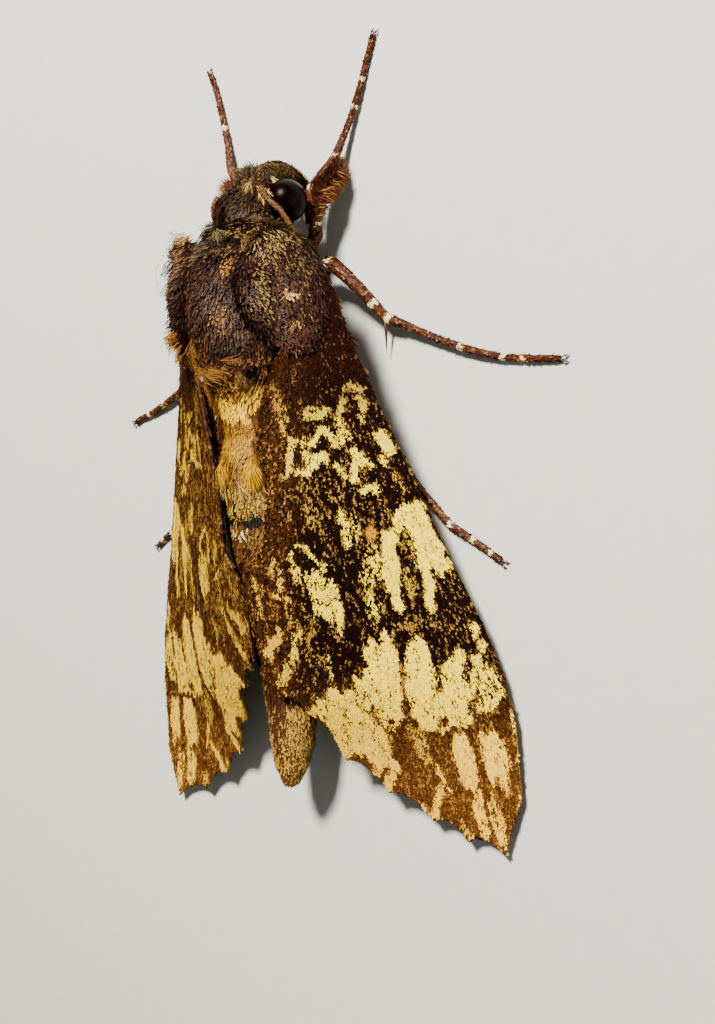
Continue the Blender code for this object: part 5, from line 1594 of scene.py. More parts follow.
@dataclass
class Body:
    """Head, palps, collar, thorax, lappets and abdomen: one skin under a coat of hair-scales."""

    # How far the skin lies under the coat, where it thins to the tail's, and how the forms are made
    coat_depth: float = 0.35
    tail_coat_depth: float = 0.15
    tail_span: tuple = (-16.0, -8.0)
    ring_pitch: float = 0.9
    overlap: float = 0.55
    voxel: float = 0.17
    sides: int = 40
    # The lappet: place and half size in plan, turn, height of its crown, its fall to the edge, its depth
    tegula_centre: tuple = (4.9, 16.6)
    tegula_half: tuple = (2.2, 4.4)
    tegula_turn: float = math.radians(8)
    tegula_thickness: float = 1.1
    tegula_fall: float = 0.9
    tegula_depth: float = 0.9
    # Height of the body's middle line, round which the unwrap turns
    axis_height: float = 5.5
    # Upward part of the normal from side to belly, and the share of pale hairs there
    belly: tuple = (-0.1, -0.6)
    belly_pale: float = 0.85
    # Where the hair stands up on the brow, and where it runs inwards in an arc behind the thorax
    brow_span: tuple = (22.6, 24.6)
    arc_y: float = 11.6
    arc_reach: tuple = (2.8, 1.0)
    arc_half: float = 3.5
    arc_span: tuple = (13.5, 10.5)
    # A hair wears the colour of the place that lies this far ahead, where most of it is seen
    seen_ahead: float = 0.65
    # Hair that the wings hide, or that is low on the body, is sparse, and none grows over the eyes
    hidden_span: tuple = (-21.0, 15.0)
    hidden_below: float = 4.0
    hidden_share: float = 0.2
    eye_clear: float = 1.62
    # Brightness of a dark hair's tip beside its root
    root_tip: float = 1.2
    tuft_width: float = 0.075
    tuft_span: tuple = (-26.0, 30.0)
    seed: int = 5
    nodes: tuple = ("head", "collar", "thorax", "abdomen", "tegula_left", "tegula_right", "palp_left",
                    "palp_right")

    def form(self, stations: list) -> bpy.types.Object:
        """Models one round form: a ring is extruded from station to station and sized at each.

        Args:
            stations: Rings of the form.
        Returns:
            The closed form.
        """
        low, high = min(row[0] for row in stations), max(row[0] for row in stations)
        places = np.linspace(low, high, max(6, int((high - low) / self.ring_pitch)))
        inset = np.interp(places, self.tail_span, (self.tail_coat_depth, self.coat_depth))
        x, z, width, height = ring_at(stations, places)
        width, height = width - inset, height - inset
        places[0] -= self.overlap
        places[-1] += self.overlap
        bpy.ops.mesh.primitive_circle_add(vertices=self.sides, radius=1.0, location=(x[0], places[0], z[0]),
                                          rotation=(math.pi / 2, 0.0, 0.0))
        made = bpy.context.object
        bpy.ops.object.transform_apply(location=True, rotation=True, scale=False)
        edit_all()
        bpy.ops.transform.resize(value=(width[0], 1.0, height[0]), center_override=(x[0], places[0], z[0]))
        for step in range(1, len(places)):
            shift = (x[step] - x[step - 1], places[step] - places[step - 1], z[step] - z[step - 1])
            bpy.ops.mesh.extrude_region_move(TRANSFORM_OT_translate={"value": shift})
            size = (width[step] / width[step - 1], 1.0, height[step] / height[step - 1])
            bpy.ops.transform.resize(value=size, center_override=(x[step], places[step], z[step]))
        bpy.ops.mesh.edge_face_add()
        bpy.ops.mesh.select_all(action="DESELECT")
        bpy.ops.object.mode_set(mode="OBJECT")
        for vertex in made.data.vertices:
            vertex.select = vertex.co.y < places[0] + 1e-4
        bpy.ops.object.mode_set(mode="EDIT")
        bpy.ops.mesh.edge_face_add()
        face_outwards()
        return made

    def palp(self, side: Side) -> bpy.types.Object:
        """Models one palp as a bevelled curve turned into a mesh.

        Args:
            side: Which side.
        Returns:
            The closed form.
        """
        path = [(side.value * x, y, z) for x, y, z in PALP_PATH]
        return swept_tube("palp", path, PALP_RADII, 16, 4)

    def tegula_share(self, x: np.ndarray, y: np.ndarray) -> np.ndarray:
        """How far out places lie on the lappet's oval, 1 at its edge.

        Args:
            x: Distance to the right.
            y: Distance to the front.
        Returns:
            Shares.
        """
        dx = np.abs(x) - self.tegula_centre[0]
        dy = y - self.tegula_centre[1]
        across = dx * math.cos(self.tegula_turn) + dy * math.sin(self.tegula_turn)
        along = -dx * math.sin(self.tegula_turn) + dy * math.cos(self.tegula_turn)
        return np.sqrt((across / self.tegula_half[0]) ** 2 + (along / self.tegula_half[1]) ** 2)

    def shoulder(self, x: np.ndarray, y: np.ndarray) -> np.ndarray:
        """Height that the lappet rests on, over the thorax and the wing's root.

        Args:
            x: Distance to the right.
            y: Distance to the front.
        Returns:
            Heights.
        """
        return np.maximum(body_top(THORAX_STATIONS, x, y), roof_height(x, y)) + 0.2

    def tegula(self, side: Side) -> bpy.types.Object:
        """Models one lappet: a round plate cut in rings, laid over the shoulder and crowned.

        Args:
            side: Which side.
        Returns:
            The closed form.
        """
        bpy.ops.mesh.primitive_uv_sphere_add(segments=32, ring_count=16, radius=1.0)
        made = bpy.context.object
        cos, sin = math.cos(self.tegula_turn), math.sin(self.tegula_turn)
        for vertex in made.data.vertices:
            x, y, z = vertex.co
            across, along = self.tegula_half[0] * x, self.tegula_half[1] * y
            px = self.tegula_centre[0] + across * cos - along * sin
            py = self.tegula_centre[1] + along * cos + across * sin
            rest = float(self.shoulder(np.array(px), np.array(py)))
            reach = math.hypot(x, y)
            crown = self.tegula_thickness * (1 - self.tegula_fall * reach * reach)
            vertex.co = (side.value * px, py, rest + (crown if z > 0 else -self.tegula_depth))
        face_outwards()
        return made

    def skin(self, finish: bpy.types.Material) -> bpy.types.Object:
        """Grows the forms together into one closed skin without seams.

        Args:
            finish: Its material.
        Returns:
            The piece, settled in its place.
        """
        forms = [self.form(stations) for stations in
                 (HEAD_STATIONS, COLLAR_STATIONS, THORAX_STATIONS, ABDOMEN_STATIONS)]
        forms += [self.palp(side) for side in Side] + [self.tegula(side) for side in Side]
        made = joined_pieces(forms, "body_skin")
        step = made.modifiers.new("grown together", "REMESH")
        step.mode = "VOXEL"
        step.voxel_size = self.voxel
        soft = made.modifiers.new("softened", "SMOOTH")
        soft.factor = 0.5
        soft.iterations = 5
        apply_steps(made)
        settle(made)
        made.data.shade_smooth()
        points, normals, _ = read_mesh(made.data)
        paint(made.data, self.worn(points, normals, np.random.default_rng(self.seed))[0])
        dress(made, finish, self.nodes)
        return made

    def worn(self, points: np.ndarray, normals: np.ndarray, rng: np.random.Generator) -> tuple:
        """What the coat is like at places of the skin.

        Args:
            points: Places in mm where the hair shows.
            normals: Normals there.
            rng: Source of the draws.
        Returns:
            Root colours, tip colours, lengths, widths and lifts.
        """
        y = points[:, 1] + 0.5 * (value_noise(points[:, 0] / 0.45, points[:, 1] / 1.5, 32) - 0.5)
        bands = sorted(BODY_BANDS, key=lambda band: band.y)

        def read(values: list) -> np.ndarray:
            """Reads one property of the bands at each place."""
            return np.interp(y, [band.y for band in bands], values)

        root, tip = [np.stack([read([tint(getattr(band, end))[axis] for band in bands])
                               for axis in range(3)], axis=-1) for end in ("root", "tip")]
        pale, length, width, lift = [read([getattr(band, name) for band in bands])
                                     for name in ("pale", "length", "width", "lift")]
        below = ramp(normals[:, 2], *self.belly)
        pale = pale * (1 - below) + self.belly_pale * below
        draw = 0.7 * rng.random(len(y)) + 0.3 * value_noise(points[:, 0] / 0.5, y / 0.8, 30)
        dull = (draw > 0.15 + 0.7 * pale)[:, None]
        tip = np.where(dull, root * self.root_tip, tip)
        for mark in BODY_PATCHES:
            reach = ((points - np.array(mark.centre)) / np.array(mark.reach)) ** 2
            near = ramp(np.sqrt(reach.sum(-1)) + 0.35 * (draw - 0.5), 1.15, 0.85)
            taken = rng.random(len(y)) < near * mark.share
            root = np.where(taken[:, None], tint(mark.root), root)
            tip = np.where(taken[:, None], tint(mark.tip), tip)
            length = np.where(taken, length * mark.length, length)
            lift = np.where(taken, lift + mark.lift, lift)
        return root, tip, length, width, lift

    def lie(self, points: np.ndarray, normals: np.ndarray) -> np.ndarray:
        """Which way the hair lies at places of the skin.

        Args:
            points: Places in mm.
            normals: Normals there.
        Returns:
            Unit vectors within the surface.
        """
        x, y, _ = points.T
        none, one = np.zeros_like(x), np.ones_like(x)
        brow = ramp(y, *self.brow_span)[:, None]
        way = np.array([0.0, -1.0, 0.0]) * (1 - brow) + np.stack([0.25 * x, 0.2 * one, one], -1) * brow
        lappet = ((self.tegula_share(x, y) < 1.1) & (normals[:, 2] > 0.1))[:, None]
        way = np.where(lappet, np.stack([0.55 * np.sign(x), -one, none], -1), way)
        arc = (ramp(np.abs(y - self.arc_y), *self.arc_reach) * (np.abs(x) < self.arc_half))[:, None]
        inward = np.stack([-1.4 * np.sign(x) * ramp(y, *self.arc_span), -one, none], -1)
        way = way * (1 - arc) + inward * arc
        swirl = 0.9 * (value_noise(x / 1.4, y / 1.8, 31) - 0.5)
        swirl = swirl + 0.8 * (value_noise(x / 0.4, y / 0.7, 33) - 0.5)
        way = way + np.stack([swirl, none, none], -1)
        return unit(way - normals * (way * normals).sum(-1, keepdims=True))

    def unwrapped(self, root: np.ndarray, span: tuple) -> np.ndarray:
        """Lays roots out on the body's unwrap, which is cut along the back's middle line.

        Args:
            root: Places in mm.
            span: Lowest and highest y of the unwrap.
        Returns:
            Two numbers for each root.
        """
        turn = (np.arctan2(root[:, 0], root[:, 2] - self.axis_height) / math.tau) % 1.0
        return on_unwrap(turn, (root[:, 1] - span[0]) / (span[1] - span[0]))

    def hair(self, skin: bpy.types.Object, name: str, span: tuple, count: int,
             finish: bpy.types.Material, slot: str) -> None:
        """Grows one piece of the coat between two places along the body.

        Args:
            skin: The skin that carries it.
            name: Name of the piece.
            span: Lowest and highest y.
            count: How many hairs.
            finish: Its material.
            slot: The record's material slot; it is not used.
        """
        rng = np.random.default_rng(self.seed + count)
        points, normals, triangles = read_mesh(skin.data)
        middle = points[triangles].mean(axis=1)
        triangles = triangles[(middle[:, 1] >= span[0]) & (middle[:, 1] < span[1])]
        corner = points[triangles]
        area = np.linalg.norm(np.cross(corner[:, 1] - corner[:, 0], corner[:, 2] - corner[:, 0]), axis=1)
        x, y, z = corner.mean(axis=1).T
        hidden = (z < roof_height(x, y) - 0.5) | (z < self.hidden_below)
        hidden &= (y > self.hidden_span[0]) & (y < self.hidden_span[1])
        area = area * np.where(hidden, self.hidden_share, 1.0)
        pick = even_picks(area, count)
        a, b = rng.random(count), rng.random(count)
        over = a + b > 1
        a, b = np.where(over, 1 - a, a), np.where(over, 1 - b, b)
        weight = np.stack([1 - a - b, a, b], axis=-1)[..., None]
        root = (points[triangles[pick]] * weight).sum(axis=1)
        normal = unit((normals[triangles[pick]] * weight).sum(axis=1))
        lie = self.lie(root, normal)
        dark, light, length, width, lift = self.worn(root + lie * self.seen_ahead, normal, rng)
        shade = (0.8 + 0.4 * rng.random(count))[:, None]
        blades = Blades(
            root=root, along=lie, normal=normal, length=length * rng.uniform(0.7, 1.25, count),
            width=width * rng.uniform(0.8, 1.2, count), lift=lift * length * rng.uniform(0.3, 1.5, count),
            root_colour=dark * shade, tip_colour=light * shade, spot=self.unwrapped(root, span),
        )
        from_eye = np.column_stack([np.abs(root[:, 0]), root[:, 1:]]) - np.array(EYE_CENTRE)
        clear = np.linalg.norm(from_eye, axis=1) > self.eye_clear
        dress(place_mesh(name, *blades.kept(clear).scales(rng)), finish)

    def standing(self, skin: bpy.types.Object, finish: bpy.types.Material) -> None:
        """Grows the tufts that stand out of the coat.

        Args:
            skin: The skin that carries them.
            finish: Their material.
        """
        rng = np.random.default_rng(self.seed + 1)
        points, normals, _ = read_mesh(skin.data)
        grown = []
        for tuft in BODY_TUFTS:
            count = tuft.count
            start, end = np.array(tuft.start), np.array(tuft.end)
            nearest = np.argmin(np.linalg.norm(points - start, axis=1))
            root = start + (points[nearest] - start) * 0.7 + rng.normal(0, tuft.spread / 2, (count, 3))
            run = end + rng.normal(0, tuft.fan / 2, (count, 3)) - root
            length = np.linalg.norm(run, axis=1)
            shade = (0.7 + 0.5 * rng.random(count))[:, None]
            blades = Blades(
                root=root, along=run / length[:, None], normal=np.tile(normals[nearest], (count, 1)),
                length=length * rng.uniform(0.6, 1.1, count), width=np.full(count, self.tuft_width),
                lift=tuft.rise * rng.uniform(0.3, 1.0, count), root_colour=tint(tuft.root) * shade,
                tip_colour=np.where(rng.random((count, 1)) < 0.25, tint(tuft.root) * 1.5,
                                    tint(tuft.tip)) * shade,
                spot=self.unwrapped(root, self.tuft_span),
            )
            grown.append(blades.hairs(0.9, rng))
        shift = np.cumsum([0] + [len(arrays[0]) for arrays in grown[:-1]])
        triangles = np.concatenate([arrays[1] + first for arrays, first in zip(grown, shift)])
        points, _, colours, patches = [np.concatenate(arrays) for arrays in zip(*grown)]
        dress(place_mesh("body_tufts", points, triangles, colours, patches), finish)


def swept_tube(name: str, path: list, radii: list, steps: int, sides: int) -> bpy.types.Object:
    """Models a round tube of changing thickness: a bevelled curve with caps, turned into a mesh.

    Args:
        name: Name of the piece.
        path: Points of its middle line.
        radii: Radius at each point.
        steps: How many points the smooth line has.
        sides: Bevel resolution.
    Returns:
        The closed tube, not yet settled.
    """
    shares = np.linspace(0, 1, steps)
    thickness = np.interp(shares, path_shares(path), radii)
    curve = bpy.data.curves.new(name, "CURVE")
    curve.dimensions = "3D"
    curve.bevel_depth = 1.0
    curve.bevel_resolution = sides
    curve.use_fill_caps = True
    line = curve.splines.new("POLY")
    line.points.add(steps - 1)
    for point, place, radius in zip(line.points, along_path(path, shares), thickness):
        point.co = (*place, 1.0)
        point.radius = radius
    made = bpy.data.objects.new(name, curve)
    bpy.context.scene.collection.objects.link(made)
    select_only([made])
    bpy.ops.object.convert(target="MESH")
    made = bpy.context.object
    edit_all()
    bpy.ops.mesh.remove_doubles(threshold=0.001)
    face_outwards()
    return made


# Radius of a cone's tip as a share of its foot's, and how much of a limb's length its scales cover
CONE_TIP = 0.12
COATED_SHARE = 0.985


def slim_cone(base: tuple, tip: tuple, radius: float, sides: int = 8) -> bpy.types.Object:
    """Models a spur, a spine or a claw: a cone primitive from base to tip.

    Args:
        base: Middle of its foot.
        tip: Its point.
        radius: Radius of the foot.
        sides: How many sides.
    Returns:
        The closed cone, not yet settled.
    """
    run = Vector(tip) - Vector(base)
    middle = (Vector(tip) + Vector(base)) / 2
    bpy.ops.mesh.primitive_cone_add(
        vertices=sides, radius1=radius, radius2=radius * CONE_TIP, depth=run.length, location=middle,
        rotation=run.to_track_quat("Z", "Y").to_euler())
    bpy.ops.object.transform_apply(location=True, rotation=True, scale=True)
    return bpy.context.object


def limb_frame(path: list, share: np.ndarray) -> tuple[np.ndarray, np.ndarray, np.ndarray]:
    """Reads a limb's middle line, its direction and its level side.

    Args:
        path: Points of its middle line.
        share: Shares of its length.
    Returns:
        Points and two sets of unit vectors.
    """
    ahead = along_path(path, np.minimum(share + NEARBY, 1))
    along = unit(ahead - along_path(path, np.maximum(share - NEARBY, 0)))
    return along_path(path, share), along, unit(np.cross(along, UPWARDS))


def limb_places(path: list, radii: tuple, per_mm: int, rng: np.random.Generator) -> tuple:
    """Picks places for scales all round a limb.

    Args:
        path: Points of its middle line.
        radii: Shares of its length, and its radius at each of them.
        per_mm: Scales a millimetre.
        rng: Source of the places.
    Returns:
        Shares, angles, roots, directions and normals.
    """
    count = int(path_steps(path).sum() * per_mm)
    share = (np.arange(count) + rng.random(count)) / count * COATED_SHARE
    angle = rng.random(count) * math.tau
    middle, along, side = limb_frame(path, share)
    normal = side * np.cos(angle)[:, None] + np.cross(side, along) * np.sin(angle)[:, None]
    return share, angle, middle + normal * np.interp(share, *radii)[:, None], along, normal


@dataclass
class Eyes:
    """The two compound eyes, separate from the skin."""

    radius: float = 1.6
    narrowing: float = 0.98

    def build(self, finish: bpy.types.Material) -> None:
        """Builds both eyes.

        Args:
            finish: Their material.
        """
        for side in Side:
            centre = (side.value * EYE_CENTRE[0], *EYE_CENTRE[1:])
            bpy.ops.mesh.primitive_ico_sphere_add(subdivisions=5, radius=self.radius, location=centre)
            made = bpy.context.object
            made.name = "eye_" + side.name.lower() + "_lens"
            edit_all()
            bpy.ops.transform.resize(value=(self.narrowing, 1.0, 1.0), center_override=centre)
            bpy.ops.object.mode_set(mode="OBJECT")
            place_model(made, finish, ("eye_" + side.name.lower(),))


# Each leg from hip to foot: x, y, z and radius
LEG_PATHS = {
    "leg_fore_right": [
        (2.15, 20.1, 2.55, 0.55), (2.75, 20.9, 2.2, 0.6), (2.95, 22.6, 2.6, 0.62),
        (2.95, 24.3, 2.5, 0.5), (3.5, 25.5, 1.9, 0.44), (4.3, 26.7, 1.35, 0.38),
        (5.0, 28.4, 0.85, 0.27), (5.75, 30.2, 0.5, 0.28), (6.5, 32.1, 0.36, 0.26),
        (7.1, 33.8, 0.24, 0.26), (7.7, 35.3, 0.22, 0.25),
    ],
    "leg_fore_left": [
        (-2.15, 20.1, 2.55, 0.55), (-2.95, 21.0, 2.2, 0.6), (-3.5, 22.8, 2.3, 0.62),
        (-4.4, 24.6, 1.9, 0.5), (-5.6, 26.4, 1.4, 0.44), (-6.7, 28.0, 0.95, 0.36),
        (-7.1, 29.4, 0.65, 0.27), (-7.5, 31.0, 0.45, 0.28), (-8.0, 33.0, 0.34, 0.26),
        (-8.5, 34.7, 0.24, 0.26), (-9.0, 36.0, 0.22, 0.25),
    ],
    "leg_mid_right": [
        (2.3, 16.6, 2.15, 0.55), (3.1, 18.2, 1.9, 0.6), (4.4, 18.7, 2.7, 0.6),
        (6.4, 17.1, 2.4, 0.52), (7.5, 15.7, 1.8, 0.45), (8.4, 14.5, 1.25, 0.42),
        (10.0, 13.7, 0.9, 0.29), (12.6, 12.5, 0.62, 0.28), (14.9, 11.6, 0.48, 0.3),
        (17.9, 10.8, 0.34, 0.27), (19.9, 10.55, 0.24, 0.26), (22.3, 10.4, 0.22, 0.25),
    ],
    "leg_mid_left": [
        (-2.3, 16.6, 2.15, 0.55), (-3.1, 18.0, 1.9, 0.6), (-4.6, 17.9, 2.4, 0.6),
        (-6.6, 16.0, 2.2, 0.52), (-8.2, 14.2, 1.7, 0.45), (-9.6, 12.7, 1.3, 0.42),
        (-11.6, 11.4, 0.95, 0.29), (-14.6, 9.9, 0.62, 0.28), (-16.5, 9.0, 0.46, 0.3),
        (-18.6, 8.2, 0.3, 0.27), (-19.9, 7.8, 0.24, 0.26), (-20.8, 7.45, 0.22, 0.25),
    ],
    "leg_hind_right": [
        (2.0, 11.6, 1.9, 0.55), (3.2, 11.2, 1.35, 0.6), (5.2, 9.6, 1.8, 0.6),
        (7.0, 7.6, 2.0, 0.5), (8.4, 5.0, 1.5, 0.45), (9.6, 2.8, 1.1, 0.42),
        (10.6, 1.3, 0.85, 0.29), (11.6, 0.2, 0.65, 0.28), (12.7, -1.1, 0.5, 0.3),
        (14.5, -2.3, 0.34, 0.27), (15.9, -3.2, 0.24, 0.26), (17.0, -3.95, 0.22, 0.25),
    ],
    "leg_hind_left": [
        (-2.0, 11.6, 1.9, 0.55), (-3.2, 11.2, 1.35, 0.6), (-5.2, 9.6, 1.8, 0.6),
        (-7.4, 7.2, 2.0, 0.5), (-9.2, 4.4, 1.5, 0.45), (-10.8, 2.2, 1.1, 0.42),
        (-12.2, 0.9, 0.85, 0.29), (-13.6, -0.2, 0.65, 0.28), (-15.0, -1.3, 0.5, 0.3),
        (-16.6, -2.4, 0.34, 0.27), (-17.9, -3.2, 0.24, 0.26), (-18.9, -3.9, 0.22, 0.25),
    ],
}
# Spurs: the point of the path that each stands on, and its tip
LEG_SPURS = {
    "leg_mid_right": [(5, (7.9, 11.7, 0.55)), (5, (9.5, 13.0, 0.45))],
    "leg_mid_left": [(5, (-8.6, 10.2, 0.75)), (5, (-10.6, 11.2, 0.45))],
    "leg_hind_right": [(5, (9.0, 0.2, 0.6)), (5, (10.9, 0.6, 0.35)), (4, (7.5, 2.9, 0.9))],
    "leg_hind_left": [(5, (-10.6, -0.6, 0.6)), (5, (-12.3, 0.2, 0.35)), (4, (-8.4, 2.4, 0.9))],
}
# Points of each leg's path that wear a pale ring or spot
LEG_RINGS = {
    "leg_fore_right": (1.5, 3, 5, 7, 8),
    "leg_fore_left": (7,),
    "leg_mid_right": (2, 4, 5, 7.7, 8.9, 9.6),
    "leg_mid_left": (5, 8, 9),
    "leg_hind_right": (5, 8, 9, 10),
    "leg_hind_left": (5, 8, 9, 10),
}


@dataclass
class Leg:
    """One leg: a jointed tube in a coat of flat scales, with spurs, spines and claws."""

    name: str
    coat_depth: float = 0.08
    scales_per_mm: int = 190
    steps: int = 90
    skin_colour: str = "240A04"
    scale_dark: str = "1A0602"
    scale_light: str = "5A2610"
    # Golden specks on the leg scales: partly their own colour, partly painted highlights
    speck_and_highlight: str = "8E6428"
    ring: str = "EFD9A0"
    # Half width of a pale ring as shares of the leg's length, outside and inside its soft edge
    ring_half: tuple = (0.011, 0.005)
    spur_radius: float = 0.17
    claw_length: float = 0.75
    claw_spread: float = math.radians(32)
    claw_bend: float = 0.5
    claw_knee: float = 0.55
    claw_knee_height: float = 0.28
    claw_tip_height: float = 0.06
    # Spines stand in pairs on the foot: first and last share of the leg's length, number of pairs
    spines: tuple = (0.6, 0.97, 9)
    spine_radius: float = 0.035
    spine_clearance: float = 0.03
    brush_scales: int = 2600
    brush_span: tuple = (0.14, 0.44)
    brush_width: float = 0.12
    brush_tip: str = "9A7034"
    seed: int = 3
    path: list = field(init=False)
    radii: list = field(init=False)
    spacing: np.ndarray = field(init=False)

    def __post_init__(self) -> None:
        """Reads the leg's middle line and the radii of its limb under the coat."""
        rows = LEG_PATHS[self.name]
        self.path = [row[:3] for row in rows]
        self.radii = [row[3] - self.coat_depth for row in rows]
        self.spacing = path_shares(self.path)

    def paleness(self, share: np.ndarray) -> np.ndarray:
        """How much of a ring lies at shares of the path.

        Args:
            share: Shares of the length.
        Returns:
            Values from 0 to 1.
        """
        marks = np.interp(LEG_RINGS[self.name], np.arange(len(self.path)), self.spacing)
        return ramp(np.min(np.abs(share[:, None] - marks[None]), axis=1), *self.ring_half)

    def build(self, skin: bpy.types.Material, coat: bpy.types.Material, horn: bpy.types.Material) -> None:
        """Builds the leg.

        Args:
            skin: Material of the limb.
            coat: Material of its scales.
            horn: Material of spurs and claws.
        """
        limb = swept_tube(self.name + "_skin", self.path, self.radii, self.steps, 3)
        place_model(limb, skin, (self.name,), self.skin_colour)
        for vertex in limb.data.vertices:
            vertex.co.z = max(vertex.co.z, 0.0)
        self.horns(horn)
        self.scales(coat)
        if "fore" in self.name:
            self.brush(coat)

    def claw(self, end: Vector, run: Vector, turn: int) -> list:
        """Models one bent claw of two cones.

        Args:
            end: End of the foot.
            run: Direction of the foot.
            turn: 1 or -1, the side of the claw.
        Returns:
            The cones.
        """
        angle = math.atan2(run.y, run.x) + turn * self.claw_spread
        knee = end + Vector((math.cos(angle), math.sin(angle), 0)) * self.claw_length * self.claw_knee
        knee.z = self.claw_knee_height
        angle -= turn * self.claw_bend
        tip = knee + Vector((math.cos(angle), math.sin(angle), 0)) * 0.3
        tip.z = self.claw_tip_height
        return [slim_cone(end - run * 0.15, knee, 0.12), slim_cone(knee - (knee - end) * 0.12, tip, 0.1)]

    def horns(self, horn: bpy.types.Material) -> None:
        """Builds the spurs, the foot's spines and the claws as one piece.

        Args:
            horn: Their material.
        """
        parts = [slim_cone(self.path[index], tip, self.spur_radius)
                 for index, tip in LEG_SPURS.get(self.name, [])]
        end = Vector(self.path[-1])
        run = (end - Vector(self.path[-2])).normalized()
        parts += self.claw(end, run, 1) + self.claw(end, run, -1)
        for share in np.linspace(*self.spines):
            here, there = along_path(self.path, np.array([share, share + 0.02]))
            forward = Vector(there - here).normalized()
            side = forward.cross(Vector(UPWARDS)).normalized()
            for sign in (1, -1):
                foot = Vector(here) + side * sign * 0.2
                tip = foot + side * sign * 0.22 + forward * 0.3 - Vector((0, 0, 0.08))
                tip.z = max(tip.z, self.spine_clearance)
                parts.append(slim_cone(foot, tip, self.spine_radius, 5))
        made = joined_pieces(parts, self.name + "_claws_and_spurs")
        place_model(made, horn)

    def scales(self, coat: bpy.types.Material) -> None:
        """Builds the coat of flat scales.

        Args:
            coat: Their material.
        """
        rng = np.random.default_rng(self.seed + 1)
        share, angle, root, along, normal = limb_places(self.path, (self.spacing, self.radii),
                                                        self.scales_per_mm, rng)
        count = len(share)
        age = rng.random(count)
        colour = blend(tint(self.scale_dark), tint(self.scale_light), age)
        pale = (rng.random(count) < self.paleness(share) * 0.92)[:, None]
        colour = np.where(pale, tint(self.ring) * (0.8 + 0.3 * age)[:, None], colour)
        # One scale in ten that is not pale gets the speck colour: partly real golden scales, partly painted
        # highlights
        colour = np.where((age > 0.9)[:, None] & ~pale, tint(self.speck_and_highlight), colour)
        blades = Blades(
            root=root, along=along, normal=normal, length=rng.uniform(0.3, 0.5, count),
            width=rng.uniform(0.09, 0.15, count), lift=rng.uniform(0.02, 0.06, count),
            root_colour=colour * 0.85, tip_colour=colour, spot=on_unwrap(angle / math.tau, share),
        )
        dress(place_mesh(self.name + "_scales", *blades.scales(rng)), coat)

    def brush(self, coat: bpy.types.Material) -> None:
        """Builds the brush of long flat scales on the outer side of a front shin.

        Args:
            coat: Their material.
        """
        rng = np.random.default_rng(self.seed + 2)
        count = self.brush_scales
        share = rng.uniform(*self.brush_span, count)
        middle, along, side = limb_frame(self.path, share)
        outer = 1.0 if self.name.endswith("right") else -1.0
        side = side * (np.sign(side[:, 0]) * outer)[:, None]
        up = unit(np.cross(side, along))
        up = up * np.sign(up[:, 2])[:, None]
        tilt = rng.uniform(-0.5, 1.2, count)
        normal = side * np.cos(tilt)[:, None] + up * np.sin(tilt)[:, None]
        age = rng.random(count)
        dark = blend(tint(self.scale_dark), tint(self.scale_light), age)
        full = ramp(share, 0.10, 0.24) * ramp(share, 0.47, 0.38)
        radius = np.interp(share, self.spacing, self.radii)
        blades = Blades(
            root=middle + normal * radius[:, None] * 0.95, along=unit(along * 0.12 + side), normal=normal,
            length=0.4 + 1.5 * full * rng.uniform(0.4, 1.15, count), width=np.full(count, self.brush_width),
            lift=0.35 * full * rng.uniform(0.2, 1.2, count), root_colour=dark,
            tip_colour=np.where((age < 0.25)[:, None], tint(self.brush_tip), dark * 1.3),
            spot=np.stack([tilt * 0.2 + 0.4, share * UNWRAP_SIZE + UNWRAP_START], axis=-1),
        )
        dress(place_mesh(self.name + "_brush", *blades.hairs(0.5, rng)), coat)


ANTENNA_PATHS = {
    "antenna_right": [
        (2.1, 24.1, 7.5), (2.8, 23.3, 7.6), (3.6, 22.4, 7.2), (4.1, 21.3, 6.75), (4.7, 20.3, 6.4),
        (5.35, 19.0, 6.0), (5.9, 17.2, 5.4), (6.2, 14.5, 4.6), (6.4, 12.0, 4.0), (6.6, 10.2, 3.7),
    ],
    "antenna_left": [
        (-2.1, 24.1, 7.5), (-2.55, 23.4, 7.6), (-3.0, 22.4, 7.1), (-3.35, 21.7, 6.3), (-3.75, 21.1, 5.5),
        (-4.35, 20.3, 4.9), (-4.9, 19.2, 4.6), (-5.3, 17.6, 4.2), (-5.6, 14.6, 3.7), (-5.9, 11.8, 3.1),
    ],
}
ANTENNA_RADII = [0.32, 0.25, 0.23, 0.24, 0.25, 0.26, 0.26, 0.25, 0.22, 0.11]


@dataclass
class Feelers:
    """The two antennae, ringed, and pale with scales on their upper side."""

    coat_depth: float = 0.05
    segment_mm: float = 0.28
    segment_depth: float = 0.04
    steps: int = 160
    scales_per_mm: int = 150
    pale: str = "5C3A18"
    dark: str = "240E04"
    seed: int = 8

    def build(self, skin: bpy.types.Material, coat: bpy.types.Material) -> None:
        """Builds both antennae.

        Args:
            skin: Material of the shaft.
            coat: Material of its scales.
        """
        rng = np.random.default_rng(self.seed)
        for name, path in ANTENNA_PATHS.items():
            shares = np.linspace(0, 1, self.steps)
            ring = 0.5 + 0.5 * np.cos(shares * path_steps(path).sum() / self.segment_mm * math.tau)
            radii = np.interp(shares, path_shares(path), ANTENNA_RADII) - self.coat_depth
            radii = radii - self.segment_depth * ring
            shaft = swept_tube(name + "_shaft", along_path(path, shares), radii, self.steps, 3)
            place_model(shaft, skin, (name,), self.dark)
            share, angle, root, along, normal = limb_places(path, (shares, radii), self.scales_per_mm, rng)
            count = len(share)
            top = ramp(np.sin(angle) + rng.normal(0, 0.2, count), -0.3, 0.3)
            colour = blend(tint(self.dark), tint(self.pale), top) * rng.uniform(0.75, 1.15, (count, 1))
            blades = Blades(
                root=root, along=along, normal=normal, length=rng.uniform(0.22, 0.34, count),
                width=rng.uniform(0.08, 0.13, count), lift=rng.uniform(0.02, 0.05, count),
                root_colour=colour * 0.8, tip_colour=colour, spot=on_unwrap(angle / math.tau, share),
            )
            dress(place_mesh(name + "_scales", *blades.scales(rng)), coat)


